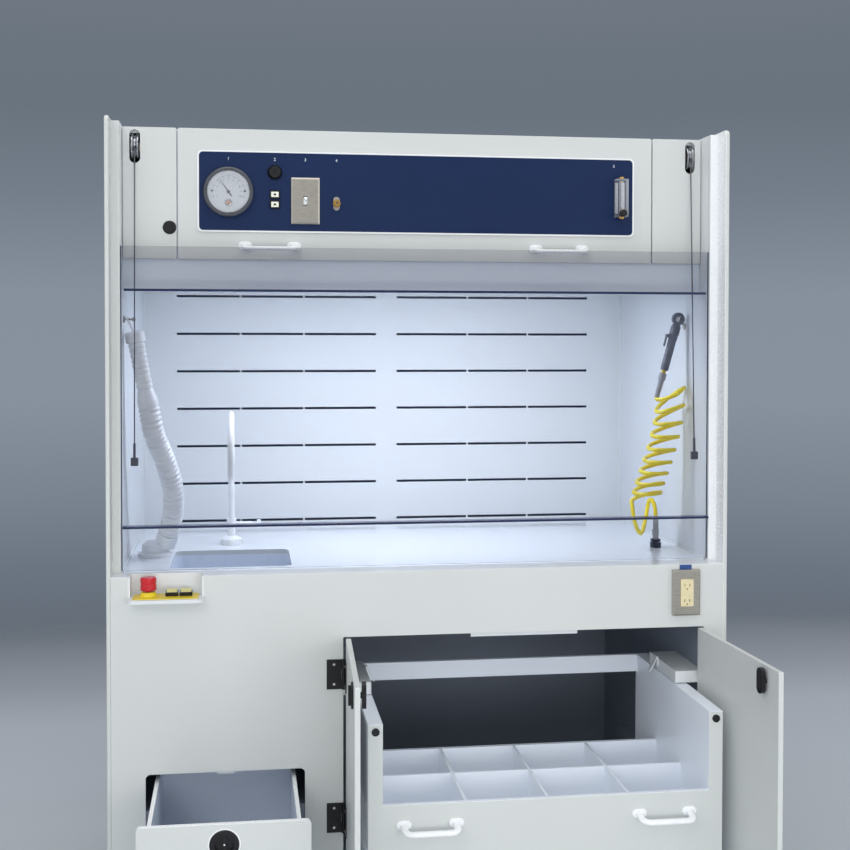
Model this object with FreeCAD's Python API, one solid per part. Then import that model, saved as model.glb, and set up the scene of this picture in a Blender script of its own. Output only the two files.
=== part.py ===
"""Wet bench: a vented work hood with a lifting sash over a sink deck, on a cabinet with
two doors, a bottle drawer and a small drawer. Millimetres, +Z up, the front faces -Y, and
the origin is on the floor at the centre of the whole bench as it stands open."""
import FreeCAD, Part
import math
import os

os.makedirs("parts", exist_ok=True)
V = FreeCAD.Vector
Precision = 1e-6

# overall sizes
bench_width = 1524.0
rear_y = 682.66
header_depth = 793.0        # header cover face to the rear face
post_proud = 66.0           # hood wall front edge ahead of the header cover face
strip_depth = 55.0          # deck edge and side panels ahead of the hood walls
deck_height = 914.0
hood_rise = 1077.0          # top of the header covers above the deck
wall_rise = 3.0             # hood walls above the header covers
side_t = 10.0               # outer side panels
wall_t = 20.0               # hood walls
sheet_t = 12.0              # welded sheet
thin_t = 6.0
skin_t = 3.0
fit_gap = 0.3               # face clearance between pieces that move apart
pin_gap = 0.08              # radial clearance of a pin in its bore
overrun = 5.0               # how far a cutter passes a face
edge_r = 3.0
panel_lift = 30.0           # underside of the side panels above the floor
panel_over = 5.0            # side panels above the hood walls
panel_corner_r = 14.0

half_width = bench_width / 2
header_y = rear_y - header_depth
post_y = header_y - post_proud
front_y = post_y - strip_depth
side_in = half_width - side_t
hood_in = side_in - wall_t
rear_in = rear_y - sheet_t
header_top = deck_height + hood_rise
hood_top = header_top + wall_rise

# header
cover_height, cover_t, cover_gap, cover_r = 320.0, 10.0, 3.0, 5.0
side_cover_w = 132.0        # side covers, from the middle of the gap to the hood wall
lip_drop = 74.0             # frame's lower edge below the covers
ceiling_lift = 19.0         # ceiling above the frame's lower edge
window_rim, window_post = 26.0, 40.0
chamber_depth = 240.0       # exhaust chamber above the baffle
baffle_back = 76.0          # baffle face ahead of the rear face
collar_r, collar_height, collar_t = 100.0, 60.0, 5.0
cover_bottom = header_top - cover_height
cover_split = hood_in - side_cover_w
lip_bottom = cover_bottom - lip_drop
ceiling_z = lip_bottom + ceiling_lift

# sash
pane_t = 6.0
pane_back = 50.0            # pane rear face ahead of the header cover face
pane_lift = 3.0             # pane above the deck
pane_height = 781.0
pane_bite = 6.0             # pane edge inside its groove
groove_play, groove_depth = 0.75, 8.0
ledge_depth, ledge_t, ledge_inset, ledge_rise = 25.0, 6.0, 5.0, 105.0
rib_depth, rib_inset, rib_drop = 8.0, 9.0, 108.0
cable_in = 31.0             # cables inside the hood walls
cable_r = 1.5
clevis_w, clevis_h, clevis_d, clevis_rise = 18.0, 20.0, 7.0, 253.0
sleeve_r, sleeve_len = 3.2, 34.0
pane_bottom = deck_height + pane_lift
pane_top = pane_bottom + pane_height
ledge_z = pane_bottom + ledge_rise
rib_z = pane_top - rib_drop
clevis_z = pane_bottom + clevis_rise
cable_x = hood_in - cable_in

# sash drums
drum_drop = 47.0            # drum centre below the top of the covers
drum_r, drum_groove_r, drum_w = 34.0, 30.0, 17.0
drum_front = 5.0            # cable centre ahead of the cover face at the drum
axle_r, reel_r, reel_w, reel_gap, boss_r = 6.0, 16.0, 22.0, 2.0, 6.4
slot_w, slot_h = 26.0, 81.0
drum_z = header_top - drum_drop

# control panel and what stands on it: places from its ends, drops from the top of the covers
control_margin, control_r = 48.6, 12.0
control_drop_top, control_drop_bottom = 52.6, 252.4
gauge_in, gauge_drop = 75.4, 155.0
gauge_r, gauge_proud, gauge_bezel, gauge_dial_depth = 60.3, 16.0, 9.0, 6.0
lens_t = 1.6
needle_len, needle_w, needle_t, needle_hub_r = 40.0, 3.0, 1.0, 4.0
needle_rest = 35.0
buzzer_in, buzzer_drop, buzzer_r, buzzer_proud = 188.4, 105.0, 18.0, 13.0
button_in, button_drop_1, button_drop_2 = 188.4, 159.5, 184.0
bezel_w, bezel_h, bezel_proud, lens_w, lens_h, lens_proud = 25.0, 20.0, 6.0, 19.0, 14.0, 8.0
plate_w, plate_h, plate_t, plate_bevel = 69.9, 114.3, 6.0, 4.0
switch_in, switch_drop = 263.4, 174.0
toggle_slot_w, toggle_slot_h = 10.4, 24.0
toggle_w, toggle_len, toggle_set_back = 8.4, 26.0, 0.5
toggle_swing = 26.0
screw_r, screw_proud, screw_space = 3.6, 0.8, 60.3
purge_in, purge_drop, purge_w, purge_h, purge_t = 340.4, 179.5, 16.0, 34.0, 3.0
purge_r, purge_bore_r, purge_proud = 9.5, 3.5, 14.0
meter_in, meter_drop, meter_h, meter_w, meter_d = 37.4, 203.0, 96.0, 30.0, 28.0
meter_bore_r, meter_end_r, meter_end_len = 5.0, 7.0, 5.0
knob_off, knob_rise, knob_r, knob_len, knob_stem_r = -1.0, 8.0, 9.0, 15.0, 3.0
plug_off, plug_drop, plug_r, plug_rim, plug_proud = 18.5, 243.0, 16.5, 9.0, 2.5
control_w = 2 * (cover_split - control_margin)
control_top, control_bottom = header_top - control_drop_top, header_top - control_drop_bottom
gauge_x, gauge_z = -control_w / 2 + gauge_in, header_top - gauge_drop
buzzer_x, buzzer_z = -control_w / 2 + buzzer_in, header_top - buzzer_drop
button_x = -control_w / 2 + button_in
button_z1, button_z2 = header_top - button_drop_1, header_top - button_drop_2
switch_x, switch_z = -control_w / 2 + switch_in, header_top - switch_drop
purge_x, purge_z = -control_w / 2 + purge_in, header_top - purge_drop
meter_x, meter_z1 = control_w / 2 - meter_in, header_top - meter_drop
meter_z2 = meter_z1 + meter_h
knob_x, knob_z = meter_x + knob_off, meter_z1 + knob_rise
plug_x, plug_z = -cover_split - plug_off, header_top - plug_drop

# bow handles
grip_len, grip_w, grip_h, grip_proud, grip_drop, grip_bend = 120.0, 17.0, 12.0, 39.5, 9.0, 18.0
foot_w, foot_h, foot_t = 35.0, 21.0, 5.0
header_grip_in_left, header_grip_in_right, header_grip_drop = 224.0, 245.0, 286.0
header_grip_left, header_grip_right = -cover_split + header_grip_in_left, cover_split - header_grip_in_right
header_grip_z = header_top - header_grip_drop

# baffle slots
baffle_t = 12.0
slot_row_rise, slot_pitch, slot_height = 16.0, 112.4, 7.0
slot_centre = -6.5
slot_inner, slot_end_in = 32.0, 103.0
slot_land_in, slot_land_out, slot_land = 219.0, 189.0, 6.0
slot_outer = hood_in - slot_end_in
slot_land_a, slot_land_b = slot_inner + slot_land_in, slot_outer - slot_land_out
slot_row_z = deck_height + slot_row_rise
slot_rows = 1 + int((ceiling_z - slot_height - slot_row_z) / slot_pitch)

# hood light
light_end_in, light_w, light_h, light_y = 142.0, 150.0, 60.0, 90.0
light_glass_t, light_rim = 5.0, 12.0

# deck and sink
deck_t, deck_front_r = 12.0, 4.0
sink_in, sink_w = 112.0, 298.0              # from the left hood wall
sink_front, sink_back = -10.0, 255.0        # from the header cover face
sink_depth, sink_wall, sink_flange, sink_r = 280.0, 6.0, 20.0, 22.0
drain_r, drain_len, drain_wall = 24.0, 70.0, 4.0
sink_x1 = -hood_in + sink_in
sink_x2 = sink_x1 + sink_w

# cabinet: openings from the bench's ends and the deck
floor_z = 142.0
kick_back, kick_height = 60.0, 100.0
nook_in, nook_w, nook_z1, nook_h, nook_r = 89.0, 377.0, 208.0, 235.0, 12.0
cabinet_off, cabinet_in, cabinet_z1, cabinet_drop = 92.0, 60.0, 162.0, 157.0
door_gap = 2.0
foot_pad_r, foot_pad_t, foot_stem_r, foot_inset = 25.0, 8.0, 8.0, 70.0
hinge_leaf_w, hinge_leaf_t, hinge_leaf_h, hinge_knuckle_r, hinge_pin_r = 36.0, 2.5, 72.0, 5.0, 2.4
hinge_rise, hinge_drop = 157.0, 89.0
hinge_screw_r, hinge_screw_t = 3.2, 0.8
door_left_open, door_right_open = 92.3, 92.6
latch_from_edge, latch_drop, latch_w, latch_h, latch_t, latch_shaft_r = 65.0, 35.0, 28.0, 58.0, 9.0, 7.0
latch_thumb_w, latch_thumb_d = 7.0, 6.0
strike_w, strike_h, strike_d, strike_off = 268.0, 11.0, 6.0, -4.0
nook_x1 = -half_width + nook_in
nook_x2 = nook_x1 + nook_w
nook_z2 = nook_z1 + nook_h
cabinet_x1, cabinet_x2 = nook_x2 + cabinet_off, half_width - cabinet_in
cabinet_z2 = deck_height - cabinet_drop
hinge_z_low, hinge_z_high = cabinet_z1 + hinge_rise, cabinet_z2 - hinge_drop
latch_z = cabinet_z2 - latch_drop
strike_x = (cabinet_x1 + cabinet_x2) / 2 + strike_off

# bottle drawer, in its photographed place
bin_in_left, bin_in_right = 38.0, 38.0      # from the cabinet opening's sides
bin_front = -354.0          # from the header cover face
bin_len, bin_low_len = 570.0, 401.0
bin_z1, bin_drop, bin_low_h = 196.0, 147.0, 230.0
bin_rail_w, bin_post_d = 33.0, 40.0
bin_wall_t, bin_divider_t, bin_floor_t = 12.0, 6.0, 12.0
bin_stretcher_h = 46.0
bin_columns = 4
bin_grip_in, bin_grip_drop = 140.5, 46.0
slide_h, slide_member_h, slide_member_t, slide_len = 45.0, 20.0, 5.5, 600.0
slide_rise, slide_play = 104.0, 0.5
right_wall_in = 58.0
guard_h, guard_len, guard_lift, guard_reach = 29.0, 209.0, 3.0, 2.0
flap_y, flap_len, flap_t, flap_rise, flap_lean, flap_drop = 28.0, 18.0, 3.0, 5.0, 20.0, 40.0
pin_cap_r, pin_cap_t = 9.0, 3.0
bin_x1, bin_x2 = cabinet_x1 + bin_in_left, cabinet_x2 - bin_in_right
bin_z2, bin_low_z = cabinet_z2 - bin_drop, bin_z1 + bin_low_h
bin_grip_z, bin_grip_space = bin_low_z - bin_grip_drop, bin_x2 - bin_x1 - 2 * bin_grip_in
slide_z = bin_z1 + slide_rise
right_wall_x = half_width - right_wall_in

# small drawer, in its photographed place
nook_front = -457.0         # from the header cover face
nook_gap = 2.5
tray_in, tray_wall, tray_len, tray_lift, tray_drop = 22.0, 9.0, 470.0, 28.0, 20.0
nook_slide_rise = 122.0
ring_drop, ring_r, ring_cup_r, ring_depth, ring_rim_proud = 47.0, 32.0, 24.0, 7.0, 2.5
ring_bar_w, ring_bar_t = 9.0, 4.0
nook_tab_w, nook_tab_h, nook_tab_t = 40.0, 9.0, 6.0
tray_x1, tray_x2 = nook_x1 + tray_in, nook_x2 - tray_in
tray_z1, tray_z2 = nook_z1 + tray_lift, nook_z2 - tray_drop
nook_slide_z = nook_z1 + nook_slide_rise
ring_z = nook_z2 - ring_drop

# stop station, places from its left end
station_in, station_w, station_drop = 50.0, 177.0, 48.0
station_t, station_proud, station_r = 8.0, 45.0, 18.0
station_back_t, station_cheek_t = 6.0, 5.0
mark_plate_w, mark_plate_d, mark_plate_t, mark_plate_r = 153.0, 64.0, 2.0, 8.0
mark_plate_in = 13.0        # mark plate behind the shelf's front edge
stop_in, stop_y = 47.0, -112.0
stop_cap_r, stop_cap_h, stop_cap_lift = 18.8, 30.0, 16.0
stop_collar_r1, stop_collar_r2, stop_collar_h, stop_stem_r = 21.0, 16.0, 9.5, 6.0
stop_waist_r, stop_crown_r = 17.8, 16.5
stop_travel = 4.0
rocker_in_1, rocker_in_2 = 102.0, 135.0
rocker_w, rocker_d, rocker_h, rocker_rise = 25.0, 28.0, 9.0, 4.5
rocker_tilt = 8.0
rocker_frame = 2.2
rocker_pin_r, rocker_pin_drop, rocker_base, rocker_taper = 1.5, 3.0, 2.5, 1.5
rocker_y = -112.0           # from the header cover face
station_x1 = -half_width + station_in
station_x2 = station_x1 + station_w
station_y2 = post_y
station_z = deck_height - station_drop
stop_x, stop_cap_z = station_x1 + stop_in, station_z + stop_cap_lift
rocker_xs = (station_x1 + rocker_in_1, station_x1 + rocker_in_2)

# outlet
outlet_in, outlet_drop, outlet_t = 109.0, 69.0, 14.0
outlet_face_w, outlet_face_h, outlet_face_proud = 34.0, 69.0, 2.0
outlet_pin_space, outlet_blade_h, outlet_blade_w, outlet_blade_space = 38.0, 7.0, 2.0, 12.7
outlet_ground_r, outlet_ground_drop, outlet_hole_depth = 2.4, 9.0, 5.0
outlet_x, outlet_z = half_width - outlet_in, deck_height - outlet_drop

# faucet
faucet_in, faucet_y = 147.0, 355.0          # from the sink's left side and the header cover face
faucet_foot_r, faucet_foot_h, faucet_body_r, faucet_body_h = 29.0, 24.0, 10.5, 52.0
faucet_collar_r, faucet_collar_h = 13.0, 20.0
faucet_tube_r, faucet_bore_r = 8.5, 5.5
faucet_height, faucet_reach, faucet_outlet_height = 371.0, 226.0, 204.0
faucet_valve_len, faucet_valve_r, faucet_valve_height = 42.0, 6.5, 56.0
faucet_wheel_r, faucet_wheel_w, faucet_spindle_r, faucet_spindle_len = 11.0, 10.0, 3.0, 14.0
faucet_flutes = 5
faucet_x = sink_x1 + faucet_in
faucet_top, faucet_outlet_z = deck_height + faucet_height, deck_height + faucet_outlet_height
faucet_valve_z = deck_height + faucet_valve_height

# hose hand piece and hose on the left, depths from the header cover face
hook_left_y, hook_drop = 28.0, 92.0
hook_r, hook_plate_r, hook_plate_t, hook_knob_r = 2.5, 9.0, 4.0, 5.0
hand_top_in, hand_top_y, hand_top_drop = 25.0, 28.0, 30.0
hand_low_in, hand_low_y, hand_low_drop = 58.3, 45.0, 215.5
hand_cap_r, hand_cap_len, hand_neck_r, hand_rib_r = 24.0, 26.0, 17.5, 20.0
hand_ribs = 9
hand_cuff_r, hand_cuff_end_r, hand_cuff_len, hand_bore_r = 19.0, 25.5, 46.0, 15.0
hand_eye_r, hand_eye_t, hand_eye_in, hand_strap_r = 6.0, 5.0, 10.0, 2.5
hook_z = ceiling_z - hook_drop
hand_top = (-hood_in + hand_top_in, hand_top_y, hook_z - hand_top_drop)
hand_low = (-hood_in + hand_low_in, hand_low_y, hook_z - hand_low_drop)
hand_eye_x = -hood_in + hand_eye_in
hose_route = ((70.0, 64.0, 321.0), (90.0, 92.0, 271.0), (107.0, 116.0, 216.0), (116.0, 138.0, 161.0))
hose_foot = (98.0, 180.0, 58.0)
hose_foot_heading = (12.0, -14.0, 40.0)
hose_lead = 40.0
hose_ribs = 30
hose_crest_r, hose_valley_r, hose_bore_r = 27.0, 23.5, 20.0
hose_end_gap = 0.3
elbow_in, elbow_y = 64.0, 190.0
elbow_r, elbow_foot_r, elbow_foot_h, elbow_mouth_r, elbow_mouth_len = 34.0, 44.0, 10.0, 27.5, 16.0
elbow_height = 42.0
elbow_x = -hood_in + elbow_in

# coil hose, its deck fitting and the air gun on the right, depths from the header cover face
coil_tube_r, coil_r = 5.5, 37.4
coil_axis = (
    (48.0, 98.0, 386.0), (48.5, 92.0, 370.7), (54.0, 90.0, 339.9), (61.5, 90.0, 307.0), (71.0, 90.0, 273.6),
    (81.0, 92.0, 240.8), (90.5, 94.0, 211.7), (99.5, 97.0, 181.0), (107.0, 100.0, 154.5),
    (111.5, 104.0, 128.0))
coil_tilts = (70.0, 42.0, 20.0, 14.0, 12.0, 10.0, 9.0, 11.0, 13.0, 15.0)
coil_tail = (
    ((148.0, 84.0, 76.0), (1.0, 0.0, -4.0)), ((120.0, 112.0, 33.0), (3.0, 2.6, 0.0)),
    ((92.0, 160.0, 81.0), (0.4, 0.8, 4.0)), ((80.0, 170.0, 136.0), (2.0, -2.0, 0.0)))
coil_steps = 2              # points per turn on the coil's line
coil_first = 0.25           # turns down at its first point
coil_look_share = 0.02      # turn to either side that gives a point's heading
coil_gap_points = 24        # points along the tube that count as the same stretch
coil_fit_in, coil_fit_y = 68.0, 150.0
coil_base_r, coil_base_h, coil_ring_r, coil_ring_h, coil_ring_gap = 15.0, 14.0, 13.5, 6.0, 3.0
coil_neck_r, coil_nut_r, coil_nut_h, coil_nut_gap = 8.0, 9.5, 16.0, 10.0
coil_relief_r, coil_relief_h = 7.5, 30.0
coil_lead = 11.0
gun_top_in, gun_end_in, gun_y, gun_top_rise, gun_end_drop = 25.5, 83.4, 100.0, 7.0, 201.0
gun_ring_r, gun_ring_bore_r, gun_ring_t = 17.0, 7.5, 14.0
gun_throat_r, gun_neck_r, gun_collar_r, gun_handle_r = 8.0, 13.0, 12.0, 10.8
gun_bit_r, gun_nut_r, gun_relief_r, gun_relief_end_r = 6.0, 10.0, 7.5, 6.6
gun_neck_at, gun_collar_at, gun_handle_at, gun_handle_end = 24.0, 46.0, 58.0, 142.0
gun_nut_at, gun_nut_end = 150.0, 168.0
gun_waist = 2.0
gun_lever_at, gun_lever_len, gun_lever_w, gun_lever_t, gun_lever_lift = 50.0, 30.0, 9.0, 3.0, 4.0
gun_ear_r, gun_ear_t, gun_ear_out, gun_pin_r = 4.0, 2.0, 16.5, 1.6
hook_slant_x, hook_slant_z, hook_ahead, hook_bend = 20.0, 24.0, 18.0, 6.0
knob_narrow_share = 0.6     # inner knob of the left hook beside the outer one
coil_fit_x = hood_in - coil_fit_in
gun_ring = (hood_in - gun_top_in, gun_y, hook_z + gun_top_rise)
gun_end = (hood_in - gun_end_in, gun_y, hook_z - gun_end_drop)

# helpers
def block(x1, x2, y1, y2, z1, z2):
    """A box between two corners."""
    return Part.makeBox(x2 - x1, y2 - y1, z2 - z1, V(x1, y1, z1))


def place(plane, u, v, w):
    """A point given by its two in-plane values and its height off the plane."""
    if plane == "XY":
        return V(u, v, w)
    if plane == "XZ":
        return V(u, w, v)
    return V(w, u, v)


def by_wall(side, inward, depth, rise):
    """A point from its inset off a hood wall, its depth from the cover face and its rise above the deck."""
    return side * (hood_in - inward), header_y + depth, deck_height + rise


def inside(x, y, z):
    """A point whose depth is given from the header cover face."""
    return x, header_y + y, z


def outline(plane, points, w):
    """A closed polygon face on a plane."""
    corners = [place(plane, u, v, w) for u, v in points]
    return Part.Face(Part.makePolygon(corners + corners[:1]))


def slab(plane, points, w1, w2):
    """A polygon drawn on a plane and extruded from w1 to w2."""
    return outline(plane, points, w1).extrude(place(plane, 0, 0, w2 - w1))


def rounded(plane, u1, u2, v1, v2, w1, w2, r):
    """A rectangle with rounded corners, extruded from w1 to w2."""
    half = math.sqrt(0.5)
    edges = []
    corners = ((u2 - r, v2 - r, 1, 1), (u1 + r, v2 - r, -1, 1), (u1 + r, v1 + r, -1, -1),
               (u2 - r, v1 + r, 1, -1))
    ends = []
    for cu, cv, su, sv in corners:
        a, b = (cu + su * r, cv), (cu, cv + sv * r)
        if su * sv < 0:
            a, b = b, a
        mid = (cu + su * r * half, cv + sv * r * half)
        edges.append(Part.Arc(place(plane, *a, w1), place(plane, *mid, w1), place(plane, *b, w1)).toShape())
        ends.append((a, b))
    for i, (a, b) in enumerate(ends):
        nxt = ends[(i + 1) % len(ends)][0]
        if math.dist(b, nxt) > Precision:
            edges.append(Part.LineSegment(place(plane, *b, w1), place(plane, *nxt, w1)).toShape())
    wire = Part.Wire(Part.__sortEdges__(edges))
    return Part.Face(wire).extrude(place(plane, 0, 0, w2 - w1))


def obround(plane, cu, cv, width, height, w1, w2):
    """A slot shape with half-round ends, extruded from w1 to w2."""
    r = min(width, height) / 2
    return rounded(plane, cu - width / 2, cu + width / 2, cv - height / 2, cv + height / 2, w1, w2, r)


def rod(a, b, r):
    """A round bar from point a to point b."""
    a, b = V(*a), V(*b)
    return Part.makeCylinder(r, (b - a).Length, a, b - a)


def spun(profile, base, axis):
    """A solid turned about an axis, from (radius, height) points."""
    base, axis = V(*base), V(*axis)
    turned = Part.makePolygon([V(r, 0, h) for r, h in profile] + [V(profile[0][0], 0, profile[0][1])])
    solid = Part.Face(turned).revolve(V(0, 0, 0), V(0, 0, 1), 360)
    solid.Placement = FreeCAD.Placement(base, FreeCAD.Rotation(V(0, 0, 1), axis))
    return solid


def eased(shape, r, pick):
    """Rounds the edges whose centre and direction pass the test."""
    edges = [e for e in shape.Edges if pick(e.CenterOfMass, e)]
    return shape.makeFillet(r, edges) if edges else shape


def along(edge, axis):
    """Whether a straight edge runs along an axis."""
    if not isinstance(edge.Curve, Part.Line):
        return False
    return abs(edge.tangentAt(edge.FirstParameter).dot(axis)) > 1 - Precision


def soft_path(points, bends):
    """A wire of straight runs joined by tangent arcs of the given radii."""
    pts = [V(*p) for p in points]
    edges, start = [], pts[0]
    for i in range(1, len(pts) - 1):
        a, b, c = pts[i - 1], pts[i], pts[i + 1]
        into, out = (b - a).normalize(), (c - b).normalize()
        turn = math.acos(max(-1.0, min(1.0, into.dot(out))))
        cut = bends[i - 1] * math.tan(turn / 2)
        p1, p2 = b - into * cut, b + out * cut
        axis_in = (out - into).normalize()
        centre = b + axis_in * (bends[i - 1] / math.cos(turn / 2))
        mid = centre - axis_in * bends[i - 1]
        if (p1 - start).Length > Precision:
            edges.append(Part.LineSegment(start, p1).toShape())
        edges.append(Part.Arc(p1, mid, p2).toShape())
        start = p2
    edges.append(Part.LineSegment(start, pts[-1]).toShape())
    return Part.Wire(edges)


def tube(path, r):
    """A round bar swept along a wire."""
    edge = path.Edges[0]
    first = edge.valueAt(edge.FirstParameter)
    heading = edge.tangentAt(edge.FirstParameter)
    ring = Part.Wire(Part.Edge(Part.Circle(first, heading, r)))
    return path.makePipeShell([ring], True, False)


def biarc(p0, t0, p1, t1):
    """Two tangent arcs that join two points with given directions."""
    v = p1 - p0
    t = t0 + t1
    a = 2 * (1 - t0.dot(t1))
    b = 2 * v.dot(t)
    c = -v.dot(v)
    d = -c / b if abs(a) < Precision else (-b + math.sqrt(b * b - 4 * a * c)) / (2 * a)
    joint = (p0 + t0 * d + p1 - t1 * d) * 0.5
    edges = []
    for start, heading, end in ((p0, t0, joint), (joint, None, p1)):
        if heading is None:
            chord = end - start
            heading = chord * (2 * chord.dot(t1) / chord.dot(chord)) - t1
        chord = end - start
        normal = heading.cross(chord).cross(heading)
        if normal.Length < Precision * chord.Length:
            edges.append(Part.LineSegment(start, end).toShape())
            continue
        normal.normalize()
        radius = chord.dot(chord) / (2 * chord.dot(normal))
        centre = start + normal * radius
        out = ((start + end) * 0.5 - centre).normalize()
        edges.append(Part.Arc(start, centre + out * radius, end).toShape())
    return edges


def mirrored(shape):
    """The same shape on the other side of the bench."""
    return shape.mirror(V(0, 0, 0), V(1, 0, 0))


def turned(shape, centre, axis, degrees):
    """A copy of a shape turned about a line."""
    copy = shape.copy()
    copy.rotate(V(*centre), V(*axis), degrees)
    return copy


def save(name, *solids):
    """Writes one piece, or one group of like pieces, as a STEP file."""
    shape = solids[0] if len(solids) == 1 else Part.makeCompound(list(solids))
    loose = sum(0 if s.isValid() else 1 for s in shape.Solids)
    print(f"{name}: {len(shape.Solids)} solid(s), {shape.Volume / 1000:.1f} cm3, bad {loose}")
    shape.exportStep(f"parts/{name}.step")


def bow_handle(x, face_y, z):
    """A bow handle with an oval grip that hangs a little below its feet, and a wide foot at each end."""
    half = grip_len / 2
    path = soft_path(((x - half, face_y, z), (x - half, face_y - grip_proud, z - grip_drop),
                      (x + half, face_y - grip_proud, z - grip_drop), (x + half, face_y, z)),
                     (grip_bend, grip_bend))
    start = path.Edges[0].valueAt(path.Edges[0].FirstParameter)
    upward = V(1, 0, 0).cross(path.Edges[0].tangentAt(path.Edges[0].FirstParameter))
    oval = Part.Ellipse(start + V(grip_w / 2, 0, 0), start + upward * (grip_h / 2), start)
    grip = path.makePipeShell([Part.Wire(oval.toShape())], True, False)
    for side in (-1, 1):
        foot = obround("XZ", x + side * half, z, foot_w, foot_h, face_y - foot_t, face_y)
        grip = grip.fuse(eased(foot, foot_t / 2, lambda c, e: abs(c.y - face_y + foot_t) < Precision))
    behind = block(x - bench_width, x + bench_width, face_y, face_y + grip_proud, z - bench_width,
                   z + bench_width)
    return grip.cut(behind).removeSplitter()


# side panels and hood walls
def side_panel():
    """The right outer panel, with its round top front corner."""
    plate = block(side_in, half_width, front_y, rear_y, panel_lift, hood_top + panel_over)
    plate = eased(plate, panel_corner_r, lambda c, e: along(e, V(1, 0, 0)) and c.y < front_y + edge_r
                  and c.z > hood_top)
    return eased(plate, edge_r, lambda c, e: not along(e, V(1, 0, 0)) and c.y < front_y + panel_corner_r
                 and c.x > side_in - edge_r and c.z > deck_height)


panel = side_panel()
save("side_panels", mirrored(panel), panel)

groove_y1 = header_y - pane_back - pane_t - groove_play
groove_y2 = header_y - pane_back + groove_play
wall = block(hood_in, side_in, post_y, rear_in, deck_height, hood_top)
wall = eased(wall, edge_r, lambda c, e: along(e, V(0, 0, 1)) and c.y < post_y + edge_r and c.x < side_in)
wall = wall.cut(block(hood_in - overrun, hood_in + groove_depth, groove_y1, groove_y2, deck_height - overrun,
                      hood_top + overrun))
save("hood_walls", mirrored(wall), wall)

# header frame, ceiling, roof and covers
frame_y1 = header_y + cover_t
frame_y2 = frame_y1 + cover_t
frame = block(-hood_in, hood_in, frame_y1, frame_y2, lip_bottom, header_top - cover_gap)
window_z1, window_z2 = cover_bottom + window_rim, header_top - window_rim
for x1, x2 in ((-hood_in + window_post / 2, -cover_split - window_post / 2),
               (-cover_split + window_post / 2, cover_split - window_post / 2),
               (cover_split + window_post / 2, hood_in - window_post / 2)):
    frame = frame.cut(rounded("XZ", x1, x2, window_z1, window_z2, frame_y1 - overrun, frame_y2 + overrun,
                              cover_r))
slot_cut = obround("XZ", cable_x, drum_z, slot_w, slot_h, header_y - overrun, frame_y2 + overrun)
frame = frame.cut(slot_cut).cut(mirrored(slot_cut))
ceiling = block(-hood_in, hood_in, frame_y2, rear_y - baffle_back, ceiling_z, ceiling_z + sheet_t)
light_x = hood_in - light_end_in
light_y1 = header_y + light_y
light_y2 = light_y1 + light_w
ceiling = ceiling.cut(block(-light_x, light_x, light_y1, light_y2, ceiling_z - overrun,
                            ceiling_z + sheet_t + overrun))
save("header_frame", frame, ceiling)

roof = block(-hood_in, hood_in, frame_y2, rear_in, header_top - sheet_t, header_top)
collar_y = rear_in - chamber_depth / 2
roof = roof.cut(Part.makeCylinder(collar_r - collar_t, sheet_t + 2 * overrun,
                                  V(0, collar_y, header_top - sheet_t - overrun)))
collar = spun(((collar_r - collar_t, 0), (collar_r, 0), (collar_r, collar_height),
               (collar_r - collar_t, collar_height)), (0, collar_y, header_top), (0, 0, 1))
chamber_y = rear_in - chamber_depth
chamber = block(-hood_in, hood_in, chamber_y - sheet_t, chamber_y, ceiling_z + sheet_t, header_top - sheet_t)
save("hood_roof", roof, collar, chamber)


def cover(x1, x2):
    """One lift-off header cover with eased corners and edges."""
    plate = rounded("XZ", x1, x2, cover_bottom, header_top, header_y, frame_y1, cover_r)
    return eased(plate, edge_r / 2, lambda c, e: abs(c.y - header_y) < Precision)


side_x1 = cover_split + cover_gap / 2
side_x2 = hood_in - cover_gap / 2
cover_right = cover(side_x1, side_x2).cut(slot_cut)
cover_left = mirrored(cover_right).cut(rod((plug_x, header_y - overrun, plug_z),
                                           (plug_x, frame_y1 + overrun, plug_z),
                                           plug_rim))
save("side_covers", cover_left, cover_right)
cover_centre = cover(-cover_split + cover_gap / 2, cover_split - cover_gap / 2)
hole_x, hole_z = lens_w / 2, lens_h / 2
for z in (button_z1, button_z2):
    cover_centre = cover_centre.cut(block(button_x - hole_x, button_x + hole_x, header_y - overrun,
                                          frame_y1 + overrun, z - hole_z, z + hole_z))
toggle_cut = block(switch_x - toggle_slot_w / 2, switch_x + toggle_slot_w / 2,
                   header_y - skin_t - plate_t - overrun,
                   frame_y1 + overrun, switch_z - toggle_slot_h / 2, switch_z + toggle_slot_h / 2)
cover_centre = cover_centre.cut(toggle_cut)
save("centre_cover", cover_centre)

panel_face = header_y - skin_t
control = rounded("XZ", -control_w / 2, control_w / 2, control_bottom, control_top, panel_face, header_y,
                  control_r)
control = eased(control, edge_r / 3, lambda c, e: abs(c.y - panel_face) < Precision)
for z in (button_z1, button_z2):
    control = control.cut(block(button_x - hole_x, button_x + hole_x, panel_face - overrun,
                                header_y + overrun, z - hole_z, z + hole_z))
save("control_panel", control.cut(toggle_cut))
save("cover_handles", bow_handle(header_grip_left, header_y, header_grip_z),
     bow_handle(header_grip_right, header_y, header_grip_z))

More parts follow.
